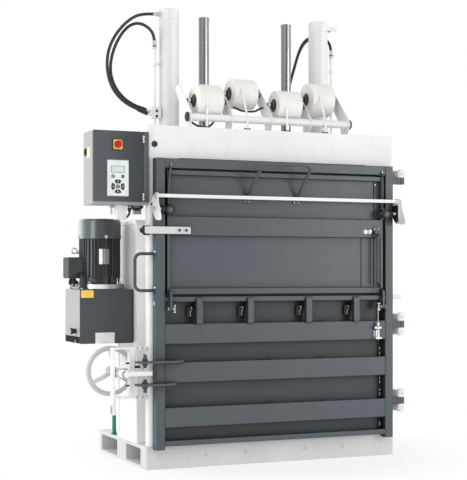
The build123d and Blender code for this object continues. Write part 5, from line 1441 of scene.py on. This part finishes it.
@piece("white")
def cylinder_weld_rings(bm):
    for side in SIDES:
        where = level(side * CYLINDER_X, PRESS_Y)
        spin(bm, [(0.0602, 1.9440), (0.0655, 1.9440), (0.0640, 1.9480), (0.0602, 1.9520)], where, 96)
        ring(bm, 0.0590, 0.0614, 2.6075, 2.6110, where, 96, 0.0008)


@piece("black")
def column_wipers(bm):
    for side in SIDES:
        ring(bm, 0.0314, 0.0415, 0, 0.005, level(side * COLUMN_X, PRESS_Y, 1.938), 64, 0.0012)


def roll_core(x, y, z):
    def build(bm):
        for side in SIDES:
            where = aimed((x + side * 0.0755, y, z), (side, 0, 0))
            ring(bm, 0.0305, 0.0395, 0, 0.0018, where, 64, 0.0003)

    return build


for number, roll in enumerate(ROLLS, 1):
    make_piece(f"roll_core_{number}", roll_core(*roll[:3]), "card", f"roll_{number}", smooth=40)


@piece("black")
def roll_hubs(bm):
    hub = [(0.0178, 0), (0.0300, 0.0004), (0.0300, 0.0036), (0.0240, 0.0052), (0.0178, 0.0060)]
    for x, y, z, _ in ROLLS:
        for side in SIDES:
            where = aimed((x + side * 0.0772, y, z), (side, 0, 0))
            spin(bm, hub, where, 40)
            ring(bm, 0.0102, 0.0195, 0.0085, 0.0150, where, 32, 0.001)


def tangent_down(y, z, radius):
    """Where a strap leaves a roll's front and meets the tube's front, as places in Y and Z."""
    dy, dz = TUBE_Y - y, TUBE_Z - z
    lean = math.asin((radius - TUBE_R) / math.hypot(dy, dz))
    angle = math.atan2(dz, dy) - math.pi / 2 + lean
    ny, nz = math.cos(angle), math.sin(angle)
    return (y + radius * ny, z + radius * nz), (TUBE_Y + TUBE_R * ny, TUBE_Z + TUBE_R * nz)


def strap_lead(bm, x, y, z, radius):
    """A strap from its roll down to the tube, round the tube's front and on to the deck."""
    start, meet = tangent_down(y, z, radius + STRAP_T)
    line = [start, meet]
    turn = math.atan2(meet[1] - TUBE_Z, meet[0] - TUBE_Y)
    target = math.pi if turn > 0 else -math.pi
    for i in range(1, 7):
        a = turn + (target - turn) * i / 6
        line.append((TUBE_Y + (TUBE_R + STRAP_T) * math.cos(a), TUBE_Z + (TUBE_R + STRAP_T) * math.sin(a)))
    line.append((TUBE_Y - TUBE_R - STRAP_T, 1.938))
    loops = []
    for i, (py, pz) in enumerate(line):
        run = (Vector(line[min(i + 1, len(line) - 1)]) - Vector(line[max(i - 1, 0)])).normalized()
        dy, dz = -run.y * STRAP_T / 2, run.x * STRAP_T / 2
        ends = [(a * STRAP_W / 2, b) for a, b in ((-1, 1), (1, 1), (1, -1), (-1, -1))]
        loops.append([bm.verts.new((x + STRAP_SHIFT + dx, py + b * dy, pz + b * dz)) for dx, b in ends])
    bridge(bm, loops, caps=True)


@piece("strap", smooth=60)
def strap_leads(bm):
    for roll in ROLLS:
        strap_lead(bm, *roll)


@piece("black")
def strap_guides(bm):
    pin = [(0, 0), (0.0045, 0), (0.0055, 0.002), (0.0055, 0.028), (0.0045, 0.030), (0, 0.030)]
    y, z = TUBE_Y - TUBE_R + 0.0045, 1.9345
    for roll in ROLLS:
        x = roll[0] + STRAP_SHIFT
        spin(bm, pin, aimed((x - 0.015, y, z), RIGHT), 20)
        for side in SIDES:
            where = aimed((x + side * 0.0165, y, z), (side, 0, 0))
            plate(bm, round_rect(0.013, 0.013, 0.003), where, 0.003, 0.0004)


@piece("black")
def tube_caps(bm):
    cap = [
        (0.027, -0.0062), (0.0285, -0.0050), (0.0285, 0.0010), (0.0262, 0.0036),
        (0.014, 0.0042), (0.012, 0.0020), (0, 0.0020),
    ]
    for side in SIDES:
        spin(bm, cap, aimed((side * 0.526, TUBE_Y, TUBE_Z), (side, 0, 0)), 48)


@piece("zinc")
def stand_bolts(bm):
    for i in range(5):
        x = 0.254 * (i - 2) + (0.018 if i else -0.018)
        for y in (-0.352, -0.314):
            bolt(bm, (x, y, 1.925), UP, 0.013)


@piece("black")
def axle_nuts(bm):
    for x, y, z, _ in ROLLS:
        for side in SIDES:
            nut(bm, (x + side * 0.1232, y, z), (-side, 0, 0), 0.024, 0.008)
            ring(bm, 0.0100, 0.0140, 0, 0.014, aimed((x + side * 0.1000, y, z), (-side, 0, 0)), 28, 0.001)


# Base, hinges and the stay


@piece("zinc")
def hinge_trim(bm):
    for z in (1.6975, 0.8325, 0.7495, 0.3725, 0.2895):
        dome(bm, (0.823, -0.4895, z), AHEAD, 0.007, 0.003)
        cap_screw(bm, (0.8488, -0.452, z), RIGHT, 0.0045, 0.003)


@piece("zinc", "door")
def wing_nut(bm):
    for side in SIDES:
        where = facing((STAY_X + side * 0.014, STAY_Y + 0.0015, 0.774))
        plate(bm, round_rect(0.018, 0.012, 0.004), where, 0.003, 0.0008)
    ring(bm, 0.0060, 0.0085, -0.008, 0.008, level(STAY_X, STAY_Y, 0.774), 24, 0.001)


@piece("black", "flap")
def stay_collars(bm):
    for z in (1.034, 1.318):
        ring(bm, 0.0091, 0.0108, z, z + 0.012, level(STAY_X, STAY_Y), 28, 0.0006)


STAND_CABLE_1 = (
    (-0.500, -0.290, 1.998),
    (-0.478, -0.292, 1.982),
    (-0.440, -0.294, 1.956),
    (-0.390, -0.294, 1.946),
    (-0.345, -0.292, 1.960),
    (-0.315, -0.288, 2.000),
    (-0.290, -0.284, 2.040),
)
STAND_CABLE_2 = (
    (-0.200, -0.284, 2.072),
    (-0.180, -0.284, 2.066),
    (-0.150, -0.284, 2.056),
    (-0.105, -0.284, 2.052),
    (-0.060, -0.284, 2.056),
    (-0.036, -0.284, 2.068),
    (-0.008, -0.284, 2.080),
)
short_cable("stand_cable_1", STAND_CABLE_1, 0.0062)
short_cable("stand_cable_2", STAND_CABLE_2, 0.0062)

# Floor, light and camera

FLOOR_FADE = (0.9, 1.6)
FLOOR_GLOW = 0.75
AMBIENT = 0.80
BACKDROP = Vector((0.399, 0.917, 0.05)).normalized()
BACKDROP_REACH = (34, 24)
KEY_POWER = 46
SIDE_POWER = 100
RIM_POWER = 130
GAP_POWER = 20

floor_mesh = bpy.data.meshes.new("floor")
floor_mesh.from_pydata([(-30, -30, 0), (30, -30, 0), (30, 30, 0), (-30, 30, 0)], [], [(0, 1, 2, 3)])
floor = bpy.data.objects.new("floor", floor_mesh)
scene.collection.objects.link(floor)
floor_mat, tree, bsdf = new_material("pale_floor")
wire(tree, bsdf, {"Base Color": (0.86, 0.86, 0.86, 1), "Roughness": 0.95, "Specular IOR Level": 0.1})
reach = add(tree, "ShaderNodeVectorMath", {0: spot(tree)}, operation="LENGTH").outputs["Value"]
fade = span(tree, reach, FLOOR_GLOW, 1.0, *FLOOR_FADE, interpolation_type="SMOOTHSTEP")
glow = add(tree, "ShaderNodeEmission").outputs["Emission"]
blend = add(tree, "ShaderNodeMixShader", {"Fac": fade, 1: bsdf.outputs["BSDF"], 2: glow})
output = next(n for n in tree.nodes if n.type == "OUTPUT_MATERIAL")
wire(tree, output, {"Surface": blend.outputs["Shader"]})
floor_mesh.materials.append(floor_mat)

world = bpy.data.worlds.new("studio")
scene.world = world
world.use_nodes = True
tree = world.node_tree
view = add(tree, "ShaderNodeTexCoord").outputs["Generated"]
dot = combine(tree, "DOT_PRODUCT", view, BACKDROP)["Value"]
low, high = (math.cos(math.radians(angle)) for angle in BACKDROP_REACH)
bright = span(tree, dot, AMBIENT, 1.0, low, high, interpolation_type="SMOOTHSTEP")
wire(tree, tree.nodes["Background"], {"Strength": bright, "Color": (1.0, 1.0, 1.0, 1)})


def area_light(name, place, target, size, power):
    light = bpy.data.lights.new(name, "AREA")
    light.shape = "RECTANGLE"
    light.size, light.size_y = size
    light.energy = power
    obj = bpy.data.objects.new(name, light)
    obj.location = place
    obj.rotation_euler = (Vector(target) - Vector(place)).to_track_quat("-Z", "Y").to_euler()
    scene.collection.objects.link(obj)
    return obj


area_light("key", (-3.6, -4.6, 5.0), (0.1, 0, 1.0), (2.6, 2.6), KEY_POWER)
area_light("side", (4.6, -6.2, 1.9), (0.3, -0.4, 1.1), (2.2, 3.2), SIDE_POWER)
area_light("gap", (-3.9, -1.9, 1.5), (-0.795, -0.26, 1.15), (0.7, 1.6), GAP_POWER)
area_light("rim", (-4.8, 1.6, 3.0), (-0.7, -0.1, 1.1), (2.4, 3.0), RIM_POWER).visible_glossy = False

camera_data = bpy.data.cameras.new("camera")
camera = bpy.data.objects.new("camera", camera_data)
camera.location = (-3.1787, -7.1390, 1.100)
camera.rotation_euler = (math.radians(90), 0, math.radians(-23.5))
camera_data.sensor_fit = "VERTICAL"
camera_data.sensor_height = 36.0
camera_data.lens = 95.55
camera_data.shift_y = 0.06875
camera_data.clip_end = 100
scene.collection.objects.link(camera)
scene.camera = camera

scene.view_settings.view_transform = "Standard"
